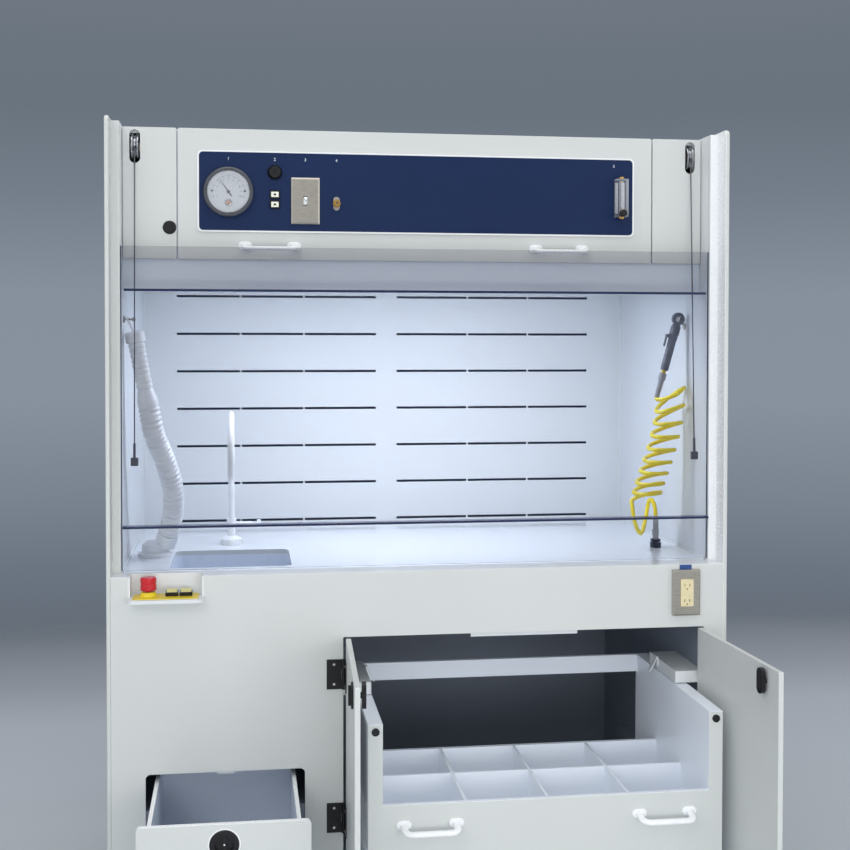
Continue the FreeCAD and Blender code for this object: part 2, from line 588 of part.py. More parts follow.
# gauge
dial_proud = gauge_proud - gauge_dial_depth
dial_r = gauge_r - gauge_bezel
gauge = spun(((0, 0), (gauge_r, 0), (gauge_r, gauge_proud - edge_r), (gauge_r - edge_r, gauge_proud),
              (dial_r, gauge_proud), (dial_r, dial_proud), (0, dial_proud)),
             (gauge_x, panel_face, gauge_z), (0, -1, 0))
save("gauge_case", gauge)
dial_y = panel_face - dial_proud
lens_y = panel_face - gauge_proud
gauge_lens = rod((gauge_x, lens_y, gauge_z), (gauge_x, lens_y + lens_t, gauge_z), dial_r - pin_gap)
needle_y = dial_y - fit_gap
needle = slab("XZ", ((-needle_w / 2, -needle_len / 3), (needle_w / 2, -needle_len / 3),
                     (needle_w / 2, 0), (0, needle_len), (-needle_w / 2, 0)), needle_y - needle_t, needle_y)
needle = needle.fuse(rod((0, needle_y - 2 * needle_t, 0), (0, needle_y, 0), needle_hub_r))
needle = turned(needle, (0, 0, 0), (0, 1, 0), -needle_rest)
needle.translate(V(gauge_x, 0, gauge_z))
save("gauge_needle", needle)

# buzzer, bezels, plug, rocker frames
buzzer = spun(((0, 0), (buzzer_r, 0), (buzzer_r, buzzer_proud / 3), (buzzer_r * 3 / 4, buzzer_proud),
               (buzzer_r / 3, buzzer_proud), (buzzer_r / 3, buzzer_proud - edge_r),
               (0, buzzer_proud - edge_r)), (buzzer_x, panel_face, buzzer_z), (0, -1, 0))
bezels = []
for z in (button_z1, button_z2):
    bezel = rounded("XZ", button_x - bezel_w / 2, button_x + bezel_w / 2, z - bezel_h / 2, z + bezel_h / 2,
                    panel_face - bezel_proud, panel_face, edge_r)
    bezel = eased(bezel, edge_r / 2, lambda c, e: abs(c.y - panel_face + bezel_proud) < Precision)
    bezels.append(bezel.cut(block(button_x - hole_x, button_x + hole_x, panel_face - bezel_proud - overrun,
                                  panel_face + overrun, z - hole_z, z + hole_z)))
plug = spun(((0, 0), (plug_r, 0), (plug_r, plug_proud / 2), (plug_r - plug_proud, plug_proud),
             (plug_rim, plug_proud), (plug_rim, plug_proud / 2), (plug_rim * 2 / 3, plug_proud / 2),
             (plug_rim * 2 / 3, plug_proud), (0, plug_proud)), (plug_x, header_y, plug_z), (0, -1, 0))
plug = plug.fuse(rod((plug_x, header_y, plug_z), (plug_x, frame_y1, plug_z), plug_rim - fit_gap))

for name, z in (("button_upper", button_z1), ("button_lower", button_z2)):
    half, tall = lens_w / 2 - fit_gap, lens_h / 2 - fit_gap
    lens = rounded("XZ", button_x - half, button_x + half, z - tall, z + tall, panel_face - lens_proud,
                   header_y - fit_gap + cover_t, edge_r / 2)
    save(name, eased(lens, edge_r / 3, lambda c, e: abs(c.y - panel_face + lens_proud) < Precision))


# bevelled steel plates, toggle, outlet
def wall_plate(x, face_y, z, thick):
    """A bevelled steel cover plate."""
    back, front = face_y, face_y - thick
    outer = place_ring(x, z, plate_w, plate_h, back)
    inner = place_ring(x, z, plate_w - 2 * plate_bevel, plate_h - 2 * plate_bevel, front)
    waist = place_ring(x, z, plate_w, plate_h, front + plate_bevel / 2)
    return Part.makeLoft([outer, waist, inner], True, True)


def place_ring(x, z, width, height, y):
    """A rectangle wire around a centre, facing the front."""
    w, h = width / 2, height / 2
    corners = [V(x - w, y, z - h), V(x + w, y, z - h), V(x + w, y, z + h), V(x - w, y, z + h)]
    return Part.makePolygon(corners + corners[:1])


switch_plate = wall_plate(switch_x, panel_face, switch_z, plate_t).cut(toggle_cut)
for side in (-1, 1):
    z = switch_z + side * screw_space / 2
    switch_plate = switch_plate.fuse(rod((switch_x, panel_face - plate_t - screw_proud, z),
                                         (switch_x, panel_face - plate_t, z), screw_r))
outlet_plate = wall_plate(outlet_x, front_y, outlet_z, outlet_t)
outlet_cut = rounded("XZ", outlet_x - outlet_face_w / 2, outlet_x + outlet_face_w / 2,
                     outlet_z - outlet_face_h / 2, outlet_z + outlet_face_h / 2,
                     front_y - outlet_t - overrun, front_y + overrun, edge_r)
outlet_plate = outlet_plate.cut(outlet_cut)

outlet = rounded("XZ", outlet_x - outlet_face_w / 2 + fit_gap, outlet_x + outlet_face_w / 2 - fit_gap,
                 outlet_z - outlet_face_h / 2 + fit_gap, outlet_z + outlet_face_h / 2 - fit_gap,
                 front_y - outlet_t - outlet_face_proud, front_y, edge_r)
outlet_front = front_y - outlet_t - outlet_face_proud
outlet = eased(outlet, edge_r / 4, lambda c, e: abs(c.y - outlet_front) < Precision)
for side in (-1, 1):
    z = outlet_z + side * outlet_pin_space / 2
    for x in (outlet_x - outlet_blade_space / 2, outlet_x + outlet_blade_space / 2):
        outlet = outlet.cut(block(x - outlet_blade_w / 2, x + outlet_blade_w / 2, outlet_front - overrun,
                                  outlet_front + outlet_hole_depth,
                                  z - outlet_blade_h / 2, z + outlet_blade_h / 2))
    drop = z - outlet_ground_drop
    outlet = outlet.cut(rod((outlet_x, outlet_front - overrun, drop),
                            (outlet_x, outlet_front + outlet_hole_depth, drop), outlet_ground_r))
save("outlet", outlet)

barrel_r = toggle_slot_h / 2 - fit_gap
toggle_y = panel_face - plate_t + toggle_set_back + barrel_r
toggle = rod((switch_x, toggle_y - toggle_len, switch_z), (switch_x, toggle_y, switch_z), toggle_w / 2)
toggle = toggle.cut(block(switch_x - toggle_w, switch_x + toggle_w, toggle_y - toggle_len - overrun,
                          toggle_y + overrun, switch_z + toggle_w / 3, switch_z + toggle_w))
barrel = rod((switch_x - toggle_slot_w / 2 + fit_gap, toggle_y, switch_z),
             (switch_x + toggle_slot_w / 2 - fit_gap, toggle_y, switch_z), barrel_r)
toggle = turned(toggle, (switch_x, toggle_y, switch_z), (1, 0, 0), -toggle_swing / 2).fuse(barrel)
save("toggle_lever", toggle)

# purge port, flowmeter
purge_back = panel_face - purge_t
bezel = obround("XZ", purge_x, purge_z, purge_w, purge_h, purge_back, panel_face)
bezel = eased(bezel, edge_r / 3, lambda c, e: abs(c.y - purge_back) < Precision)
port = spun(((purge_bore_r, 0), (purge_r, 0), (purge_r, purge_proud / 2), (purge_r * 3 / 4, purge_proud / 2),
             (purge_r * 3 / 4, purge_proud), (purge_bore_r, purge_proud)), (purge_x, purge_back, purge_z),
             (0, -1, 0))
meter_y = panel_face - meter_d
meter_mid = (panel_face + meter_y) / 2
ends = [rod((meter_x, meter_mid, meter_z2), (meter_x, meter_mid, meter_z2 + meter_end_len), meter_end_r),
        rod((meter_x, meter_mid, meter_z1 - meter_end_len), (meter_x, meter_mid, meter_z1), meter_end_r)]
save("brass_fittings", port, *ends)
save("steel_plates", switch_plate, outlet_plate, bezel)
meter = rounded("YZ", meter_y, panel_face, meter_z1, meter_z2, meter_x - meter_w / 2, meter_x + meter_w / 2,
                edge_r)
meter = meter.cut(rod((meter_x, meter_mid, meter_z1 + 2 * meter_bore_r),
                      (meter_x, meter_mid, meter_z2 - meter_bore_r),
                      meter_bore_r))
save("clear_fittings", gauge_lens, meter)
knob = spun(((0, 0), (knob_stem_r, 0), (knob_stem_r, edge_r), (knob_r, edge_r),
             (knob_r, knob_len - edge_r / 2),
             (knob_r - edge_r / 2, knob_len), (0, knob_len)), (knob_x, meter_y, knob_z), (0, -1, 0))
flutes = 6
for i in range(flutes):
    a = 2 * math.pi * i / flutes
    x, z = knob_x + knob_r * math.cos(a), knob_z + knob_r * math.sin(a)
    knob = knob.cut(rod((x, meter_y - knob_len - overrun, z), (x, meter_y - edge_r - knob_stem_r, z),
                        edge_r / 2))
knob.translate(V(0, -fit_gap, 0))
save("flow_knob", knob)

# sash drums
drum_y = header_y - drum_front + drum_groove_r + cable_r
half_drum = drum_w / 2
drum = spun(((axle_r + pin_gap, -half_drum), (drum_r, -half_drum), (drum_r, -half_drum + edge_r),
             (drum_groove_r, -cable_r), (drum_groove_r, cable_r), (drum_r, half_drum - edge_r),
             (drum_r, half_drum), (axle_r + pin_gap, half_drum)), (cable_x, drum_y, drum_z), (1, 0, 0))
save("sash_drums", mirrored(drum), drum)
reel_end = cable_x - half_drum - reel_gap
reel = spun(((0, 0), (boss_r, 0), (boss_r, hood_in - cable_x - half_drum - reel_gap),
             (axle_r, hood_in - cable_x - half_drum - reel_gap), (axle_r, hood_in - reel_end),
             (reel_r, hood_in - reel_end), (reel_r, hood_in - reel_end + reel_w),
             (0, hood_in - reel_end + reel_w)),
            (hood_in, drum_y, drum_z), (-1, 0, 0))
save("spring_reels", mirrored(reel), reel)

# sash
pane_y1 = header_y - pane_back - pane_t
pane_y2 = header_y - pane_back
pane_half = hood_in + pane_bite
pane = block(-pane_half, pane_half, pane_y1, pane_y2, pane_bottom, pane_bottom + pane_height)
save("sash_pane", pane)
ledge = block(-hood_in + ledge_inset, hood_in - ledge_inset, pane_y1 - ledge_depth, pane_y1, ledge_z,
              ledge_z + ledge_t)
ledge = eased(ledge, edge_r / 2, lambda c, e: along(e, V(1, 0, 0)) and c.y < pane_y1 - edge_r)
rib = block(-hood_in + rib_inset, hood_in - rib_inset, pane_y1 - rib_depth, pane_y1, rib_z, rib_z + ledge_t)
save("sash_ledges", ledge, rib)
clevis_y = pane_y2 + clevis_d
cable_low_z = clevis_z + clevis_h
cable_low_y = pane_y2 + clevis_d / 2
cable_high_y = header_y - drum_front
clevis = block(cable_x - clevis_w / 2, cable_x + clevis_w / 2, pane_y2, clevis_y, clevis_z, cable_low_z)
clevis = eased(clevis, edge_r / 2, lambda c, e: along(e, V(0, 1, 0)))
slope = V(0, cable_high_y - cable_low_y, drum_z - cable_low_z).normalize()
sleeve_end = V(cable_x, cable_low_y, cable_low_z) + slope * sleeve_len
sleeve_root = V(cable_x, cable_low_y, cable_low_z) - slope * sleeve_r
clevis = clevis.fuse(rod(sleeve_root, sleeve_end, sleeve_r))
save("sash_clevises", mirrored(clevis), clevis)
cable = rod(sleeve_end, (cable_x, cable_high_y, drum_z), cable_r)
save("sash_cables", mirrored(cable), cable)

# hood light
housing = block(-light_x, light_x, light_y1, light_y2, ceiling_z, ceiling_z + light_h)
housing = housing.cut(block(-light_x + light_rim, light_x - light_rim, light_y1 + light_rim,
                            light_y2 - light_rim,
                            ceiling_z - overrun, ceiling_z + light_h - light_rim))
glass = block(-light_x + light_rim, light_x - light_rim, light_y1 + light_rim, light_y2 - light_rim,
              ceiling_z, ceiling_z + light_glass_t)
save("hood_light", housing, glass)

# slotted baffle
baffle_y = rear_y - baffle_back
baffle = block(-hood_in, hood_in, baffle_y, baffle_y + baffle_t, deck_height, ceiling_z + sheet_t)
columns = ((slot_inner, slot_land_a - slot_land / 2),
           (slot_land_a + slot_land / 2, slot_land_b - slot_land / 2),
           (slot_land_b + slot_land / 2, slot_outer))
cutters = []
for row in range(slot_rows):
    z = slot_row_z + row * slot_pitch
    for x1, x2 in columns:
        for side in (-1, 1):
            a, b = slot_centre + side * x1, slot_centre + side * x2
            cutters.append(block(min(a, b), max(a, b), baffle_y - overrun, baffle_y + baffle_t + overrun,
                                 z - slot_height / 2, z + slot_height / 2))
save("back_baffle", baffle.cut(Part.makeCompound(cutters)))

# deck, sink
notch = block(station_x1, station_x2, front_y - overrun, station_y2, station_z - station_t,
              deck_height + overrun)
deck = block(-side_in, side_in, front_y, rear_in, deck_height - deck_t, deck_height)
deck = eased(deck, deck_front_r, lambda c, e: along(e, V(1, 0, 0)) and c.y < front_y + edge_r
             and c.z > deck_height - edge_r)
sink_y1, sink_y2 = header_y + sink_front, header_y + sink_back
opening = rounded("XY", sink_x1, sink_x2, sink_y1, sink_y2, deck_height - sink_depth, deck_height + overrun,
                  sink_r)
save("deck", deck.cut(notch).cut(opening))
sink_top = deck_height - deck_t
shell = rounded("XY", sink_x1 - sink_wall, sink_x2 + sink_wall, sink_y1 - sink_wall, sink_y2 + sink_wall,
                deck_height - sink_depth - sink_wall, sink_top, sink_r + sink_wall)
flange = rounded("XY", sink_x1 - sink_flange, sink_x2 + sink_flange, sink_y1 - sink_flange,
                 sink_y2 + sink_flange,
                 sink_top - sink_wall, sink_top, sink_r + sink_flange)
drain = ((sink_x1 + sink_x2) / 2, (sink_y1 + sink_y2) / 2)
drain_z = deck_height - sink_depth - sink_wall
pipe = rod((*drain, drain_z - drain_len), (*drain, drain_z + sink_wall / 2), drain_r)
bore = rod((*drain, drain_z - drain_len - overrun), (*drain, drain_z + sink_wall + overrun),
           drain_r - drain_wall)
save("sink", shell.fuse(flange).fuse(pipe).cut(opening).cut(bore).removeSplitter())

# apron
apron_y2 = front_y + sheet_t
apron = block(-side_in, side_in, front_y, apron_y2, kick_height, deck_height - deck_t)
apron = apron.cut(notch)
apron = apron.cut(rounded("XZ", nook_x1, nook_x2, nook_z1, nook_z2, front_y - overrun, apron_y2 + overrun,
                          nook_r))
apron = apron.cut(rounded("XZ", cabinet_x1, cabinet_x2, cabinet_z1, cabinet_z2, front_y - overrun,
                          apron_y2 + overrun, edge_r))
save("apron", apron)

# cabinet sheets
partition_x2 = cabinet_x1 - thin_t
partition_x1 = partition_x2 - sheet_t
floor = block(-side_in, side_in, apron_y2, rear_in, floor_z - sheet_t, floor_z)
back = block(-side_in, side_in, rear_in, rear_y, floor_z - sheet_t, header_top)
partition = block(partition_x1, partition_x2, apron_y2, rear_in, floor_z, deck_height - deck_t)
right_wall = block(right_wall_x, right_wall_x + sheet_t, apron_y2, rear_in, floor_z, deck_height - deck_t)
kick = block(-side_in, side_in, front_y + kick_back, front_y + kick_back + sheet_t, panel_lift,
             floor_z - sheet_t)
save("cabinet_sheets", floor, back, partition, right_wall, kick)

strike_y = apron_y2
strike = block(strike_x - strike_w / 2, strike_x + strike_w / 2, strike_y, strike_y + strike_d,
               cabinet_z2 - strike_h, cabinet_z2 + strike_h)
tab_x = (nook_x1 + nook_x2) / 2
tab = block(tab_x - nook_tab_w / 2, tab_x + nook_tab_w / 2, apron_y2, apron_y2 + nook_tab_t,
            nook_z2 - nook_tab_h, nook_z2 + nook_tab_h)


def drawer_stop(web_x, wall_x):
    """The box over a drawer runner, and the bent flap on it that the drawer's rear rail meets."""
    toward = 1 if wall_x > web_x else -1
    face = web_x + toward * guard_reach
    low = bin_z2 + guard_lift
    box = block(min(face, wall_x), max(face, wall_x), apron_y2, apron_y2 + guard_len, low, low + guard_h)
    crest = low + guard_h + flap_rise
    foot = low + guard_h / 3
    tip_x, tip_z = face - toward * (flap_t + flap_lean), crest - flap_drop
    points = ((face, foot), (face, crest), (face - toward * flap_t, crest), (tip_x, tip_z),
              (tip_x + toward * flap_t, tip_z), (face - toward * flap_t, crest - 2 * flap_t),
              (face - toward * flap_t, foot))
    y1 = header_y + flap_y
    return box, slab("XZ", points, y1, y1 + flap_len)


left_stop = drawer_stop(bin_x1 + bin_rail_w, partition_x2)
right_stop = drawer_stop(bin_x2 - bin_rail_w, right_wall_x)
save("strikes", strike, tab, *left_stop, *right_stop)

feet = []
for sx in (-1, 1):
    for y in (front_y + foot_inset + kick_back, rear_y - foot_inset):
        x = sx * (half_width - foot_inset)
        pad = spun(((0, 0), (foot_pad_r, 0), (foot_pad_r, foot_pad_t / 2), (foot_stem_r, foot_pad_t),
                    (foot_stem_r, floor_z - sheet_t), (0, floor_z - sheet_t)), (x, y, 0), (0, 0, 1))
        feet.append(pad)
save("levelling_feet", *feet)

# doors on their hinges
hinge_y = front_y - hinge_knuckle_r
left_pin = (cabinet_x1 + door_gap / 2, hinge_y, 0)
right_pin = (cabinet_x2 - door_gap / 2, hinge_y, 0)
door_z1, door_z2 = cabinet_z1 + door_gap, cabinet_z2 - door_gap
door_mid = (cabinet_x1 + cabinet_x2) / 2
knuckle_h = hinge_leaf_h / 3
knuckle_clear = hinge_knuckle_r + 2 * fit_gap


def fixed_leaf(pin_x, side, z):
    """The hinge leaf on the apron with two knuckles and the pin; side is -1 or 1, toward the apron."""
    far = pin_x + side * (hinge_knuckle_r + hinge_leaf_w)
    near = pin_x + side * knuckle_clear
    leaf = block(min(far, near), max(far, near), front_y - hinge_leaf_t, front_y, z - hinge_leaf_h / 2,
                 z + hinge_leaf_h / 2)
    for low in (z - hinge_leaf_h / 2, z + hinge_leaf_h / 2 - knuckle_h):
        leaf = leaf.fuse(rod((pin_x, hinge_y, low), (pin_x, hinge_y, low + knuckle_h), hinge_knuckle_r))
        arm = block(min(pin_x, near), max(pin_x, near), front_y - hinge_leaf_t, front_y, low, low + knuckle_h)
        leaf = leaf.fuse(arm)
    gap = block(pin_x - knuckle_clear, pin_x + knuckle_clear, hinge_y - knuckle_clear, front_y + overrun,
                z - knuckle_h / 2 - fit_gap, z + knuckle_h / 2 + fit_gap)
    leaf = leaf.cut(gap)
    leaf = leaf.fuse(rod((pin_x, hinge_y, z - hinge_leaf_h / 2), (pin_x, hinge_y, z + hinge_leaf_h / 2),
                         hinge_pin_r))
    for low in (z - hinge_leaf_h / 3, z + hinge_leaf_h / 3):
        x = (far + near) / 2
        leaf = leaf.fuse(rod((x, front_y - hinge_leaf_t - hinge_screw_t, low),
                             (x, front_y - hinge_leaf_t, low),
                             hinge_screw_r))
    return leaf.removeSplitter()


def door_leaf(pin_x, side, z):
    """The hinge leaf on a closed door with the middle knuckle; side is -1 or 1, toward the door."""
    far = pin_x + side * (hinge_knuckle_r + hinge_leaf_w)
    near = pin_x + side * knuckle_clear
    leaf = block(min(far, near), max(far, near), front_y - hinge_leaf_t, front_y, z - hinge_leaf_h / 2,
                 z + hinge_leaf_h / 2)
    arm = block(min(pin_x, near), max(pin_x, near), front_y - hinge_leaf_t, front_y, z - knuckle_h / 2,
                z + knuckle_h / 2)
    knuckle = rod((pin_x, hinge_y, z - knuckle_h / 2), (pin_x, hinge_y, z + knuckle_h / 2), hinge_knuckle_r)
    bore = rod((pin_x, hinge_y, z - knuckle_h), (pin_x, hinge_y, z + knuckle_h), hinge_pin_r + pin_gap)
    leaf = leaf.fuse(arm).fuse(knuckle)
    for low in (z - hinge_leaf_h / 3, z + hinge_leaf_h / 3):
        x = (far + near) / 2
        leaf = leaf.fuse(rod((x, front_y - hinge_leaf_t - hinge_screw_t, low),
                             (x, front_y - hinge_leaf_t, low),
                             hinge_screw_r))
    return leaf.cut(bore).removeSplitter()


def door_sheet(x1, x2, latch_x):
    """One door with round corners and its latch hole."""
    sheet = rounded("XZ", x1, x2, door_z1, door_z2, front_y, apron_y2, edge_r)
    sheet = eased(sheet, edge_r / 2, lambda c, e: abs(c.y - front_y) < Precision)
    return sheet.cut(rod((latch_x, front_y - overrun, latch_z), (latch_x, apron_y2 + overrun, latch_z),
                         latch_shaft_r + pin_gap))


def latch(x):
    """A quarter-turn latch: oval knob with a thumb bar outside, an oval cam inside, one shaft."""
    face = front_y - fit_gap
    knob = obround("XZ", x, latch_z, latch_w, latch_h, face - latch_t / 2, face)
    knob = eased(knob, edge_r / 2, lambda c, e: abs(c.y - face + latch_t / 2) < Precision)
    thumb = obround("XZ", x, latch_z, latch_thumb_w, latch_h - latch_w / 2,
                    face - latch_t / 2 - latch_thumb_d,
                    face - latch_t / 4)
    cam_y = apron_y2 + strike_d + fit_gap
    shaft = rod((x, face, latch_z), (x, cam_y, latch_z), latch_shaft_r)
    cam = obround("XZ", x, latch_z, latch_w, latch_h, cam_y, cam_y + latch_t)
    return knob.fuse(thumb).fuse(shaft).fuse(cam).removeSplitter()


left_latch_x = door_mid - door_gap / 2 - latch_from_edge
right_latch_x = door_mid + door_gap / 2 + latch_from_edge
doors = (("left", cabinet_x1 + door_gap, door_mid - door_gap / 2, left_latch_x, left_pin, -door_left_open, 1),
         ("right", door_mid + door_gap / 2, cabinet_x2 - door_gap, right_latch_x, right_pin, door_right_open,
          -1))
fixed = []
for name, x1, x2, latch_x, pin, angle, side in doors:
    leaves = [door_leaf(pin[0], side, z) for z in (hinge_z_low, hinge_z_high)]
    fixed += [fixed_leaf(pin[0], -side, z) for z in (hinge_z_low, hinge_z_high)]
    save(f"door_{name}", *[turned(s, pin, (0, 0, 1), angle) for s in (door_sheet(x1, x2, latch_x), *leaves)])
    save(f"latch_{name}", turned(latch(latch_x), pin, (0, 0, 1), angle))
save("apron_hinges", *fixed)

# bottle drawer
bin_y1 = header_y + bin_front
bin_y2 = bin_y1 + bin_len
bin_low_y = bin_y1 + bin_low_len
inner_x1, inner_x2 = bin_x1 + bin_rail_w, bin_x2 - bin_rail_w
parts_of_bin = [block(bin_x1, bin_x2, bin_y1, bin_low_y, bin_z1, bin_z1 + bin_floor_t)]
parts_of_bin.append(block(bin_x1, bin_x2, bin_y1, bin_y1 + bin_wall_t, bin_z1, bin_low_z))
parts_of_bin.append(block(inner_x1, inner_x2, bin_low_y - bin_wall_t, bin_low_y, bin_z1, bin_low_z))
for side in (-1, 1):
    outer = bin_x2 if side > 0 else bin_x1
    web = outer - side * bin_rail_w
    shell = block(min(web, web + side * bin_wall_t), max(web, web + side * bin_wall_t), bin_y1, bin_y2,
                  bin_z1, bin_z2)
    top = block(min(web, outer), max(web, outer), bin_y1, bin_y2, bin_z2 - bin_wall_t, bin_z2)
    post = block(min(web, outer), max(web, outer), bin_y1, bin_y1 + bin_post_d, bin_z1, bin_z2)
    rail = block(min(web, outer), max(web, outer), bin_y1, bin_y2, slide_z - slide_h / 2,
                 slide_z + slide_h / 2)
    parts_of_bin += [shell, top, post, rail]
parts_of_bin.append(block(inner_x1, inner_x2, bin_y2 - bin_wall_t, bin_y2, bin_z2 - bin_stretcher_h, bin_z2))
bottle_drawer = parts_of_bin[0].fuse(parts_of_bin[1:]).removeSplitter()
bottle_drawer = eased(
    bottle_drawer, edge_r / 2,
    lambda c, e: along(e, V(1, 0, 0)) and c.y < bin_y1 + Precision and c.z > bin_low_z - edge_r)
cell = (inner_x2 - inner_x1) / bin_columns
row_y = (bin_y1 + bin_low_y) / 2
lattice = block(inner_x1, inner_x2, row_y - bin_divider_t / 2, row_y + bin_divider_t / 2,
                bin_z1 + bin_floor_t, bin_low_z)
for i in range(1, bin_columns):
    x = inner_x1 + i * cell
    lattice = lattice.fuse(block(x - bin_divider_t / 2, x + bin_divider_t / 2, bin_y1 + bin_wall_t,
                                 bin_low_y - bin_wall_t, bin_z1 + bin_floor_t, bin_low_z))
lattice = lattice.removeSplitter()
bin_mid = (bin_x1 + bin_x2) / 2
save("bottle_drawer_handles", bow_handle(bin_mid - bin_grip_space / 2, bin_y1, bin_grip_z),
     bow_handle(bin_mid + bin_grip_space / 2, bin_y1, bin_grip_z))
caps = [rod((x, bin_y1 - pin_cap_t, bin_z2 - bin_rail_w / 2), (x, bin_y1, bin_z2 - bin_rail_w / 2), pin_cap_r)
        for x in (bin_x1 + bin_rail_w / 2, bin_x2 - bin_rail_w / 2)]
save("drawer_caps", *caps)


# drawer slides
def slide_pair(outer_x, wall_x, z, y1, length):
    """A fixed channel between a cabinet wall and a drawer, and the member that moves in it."""
    toward = 1 if wall_x > outer_x else -1
    face = outer_x + toward * slide_play
    channel = block(min(face, wall_x), max(face, wall_x), apron_y2, apron_y2 + slide_len, z - slide_h / 2,
                    z + slide_h / 2)
    reach = outer_x + toward * (slide_member_t + slide_play)
    member_z = slide_member_h / 2
    channel = channel.cut(block(min(outer_x, reach), max(outer_x, reach), apron_y2 - overrun,
                                apron_y2 + slide_len + overrun,
                                z - member_z - slide_play, z + member_z + slide_play))
    tip = outer_x + toward * slide_member_t
    member = block(min(outer_x, tip), max(outer_x, tip), y1, y1 + length, z - member_z, z + member_z)
    return channel, member


left_pair = slide_pair(bin_x1, partition_x2, slide_z, bin_y1 + bin_post_d, bin_len - bin_post_d)
right_pair = slide_pair(bin_x2, right_wall_x, slide_z, bin_y1 + bin_post_d, bin_len - bin_post_d)
tray_y1 = header_y + nook_front + sheet_t
tray_y2 = tray_y1 + tray_len
nook_left = slide_pair(tray_x1, -side_in, nook_slide_z, tray_y1, tray_len)
nook_right = slide_pair(tray_x2, partition_x1, nook_slide_z, tray_y1, tray_len)
save("slide_channels", left_pair[0], right_pair[0], nook_left[0], nook_right[0])
save("bottle_drawer", bottle_drawer, lattice, left_pair[1], right_pair[1])

# small drawer with its ring latch
front_z1, front_z2 = nook_z1 + nook_gap, nook_z2 - nook_gap
drawer_face = header_y + nook_front
front = rounded("XZ", nook_x1 + nook_gap, nook_x2 - nook_gap, front_z1, front_z2, drawer_face, tray_y1,
                nook_r - nook_gap)
front = eased(front, edge_r / 2, lambda c, e: abs(c.y - drawer_face) < Precision)
front = front.cut(rod((tab_x, drawer_face - overrun, ring_z), (tab_x, tray_y1 + overrun, ring_z),
                      ring_cup_r + fit_gap))
tray = block(tray_x1, tray_x2, tray_y1, tray_y2, tray_z1, tray_z2)
tray = tray.cut(block(tray_x1 + tray_wall, tray_x2 - tray_wall, tray_y1 + tray_wall, tray_y2 - tray_wall,
                      tray_z1 + tray_wall, tray_z2 + overrun))
save("small_drawer", front, tray, nook_left[1], nook_right[1])
cup_back = drawer_face + ring_depth
ring = spun(((0, -ring_depth - skin_t), (ring_cup_r, -ring_depth - skin_t), (ring_cup_r, fit_gap),
             (ring_r, fit_gap),
             (ring_r, ring_rim_proud / 2), (ring_r - ring_rim_proud, ring_rim_proud),
             (ring_cup_r - skin_t, ring_rim_proud),
             (ring_cup_r - skin_t, -ring_depth), (0, -ring_depth)), (tab_x, drawer_face, ring_z), (0, -1, 0))
bar_half = ring_cup_r - skin_t / 2
bar = block(tab_x - ring_bar_w / 2, tab_x + ring_bar_w / 2, drawer_face - ring_rim_proud / 2,
            drawer_face - ring_rim_proud / 2 + ring_bar_t, ring_z - bar_half, ring_z + bar_half)
save("ring_latch", ring.fuse(bar).removeSplitter())

# stop station
tray_low = station_z - station_t
station_y1 = front_y - station_proud
shelf = rounded("XY", station_x1, station_x2, station_y1, station_y2, tray_low, station_z, station_r)
square = block(station_x1, station_x2, front_y, station_y2, tray_low, station_z)
back_wall = block(station_x1, station_x2, station_y2 - station_back_t, station_y2, station_z, deck_height)
cheeks = [block(x, x + station_cheek_t, front_y, station_y2, station_z, deck_height)
          for x in (station_x1, station_x2 - station_cheek_t)]
station = shelf.fuse([square, back_wall, *cheeks]).removeSplitter()
mark_x = (station_x1 + station_x2) / 2
mark_y1 = station_y1 + mark_plate_in
mark_top = station_z + mark_plate_t
mark = rounded("XY", mark_x - mark_plate_w / 2, mark_x + mark_plate_w / 2, mark_y1, mark_y1 + mark_plate_d,
               station_z, mark_top, mark_plate_r)
stop_place = inside(stop_x, stop_y, mark_top)
collar = spun(((0, 0), (stop_collar_r1, 0), (stop_collar_r2, stop_collar_h), (0, stop_collar_h)),
              stop_place, (0, 0, 1))
stem_bore = rod((stop_x, stop_place[1], tray_low - overrun),
                (stop_x, stop_place[1], mark_top + stop_collar_h + overrun),
                stop_stem_r + pin_gap)
save("stop_station", station.cut(stem_bore))
save("stop_mark_plate", mark.fuse(collar).cut(stem_bore))
head = spun(((0, 0), (stop_cap_r, 0), (stop_cap_r, stop_cap_h / 3), (stop_waist_r, stop_cap_h / 2),
             (stop_cap_r, stop_cap_h * 2 / 3), (stop_cap_r, stop_cap_h - edge_r), (stop_crown_r, stop_cap_h),
             (0, stop_cap_h)),
            inside(stop_x, stop_y, stop_cap_z), (0, 0, 1))
stem = rod((stop_x, stop_place[1], tray_low + stop_travel + fit_gap), (stop_x, stop_place[1], stop_cap_z),
           stop_stem_r)
save("stop_button", head.fuse(stem).removeSplitter())

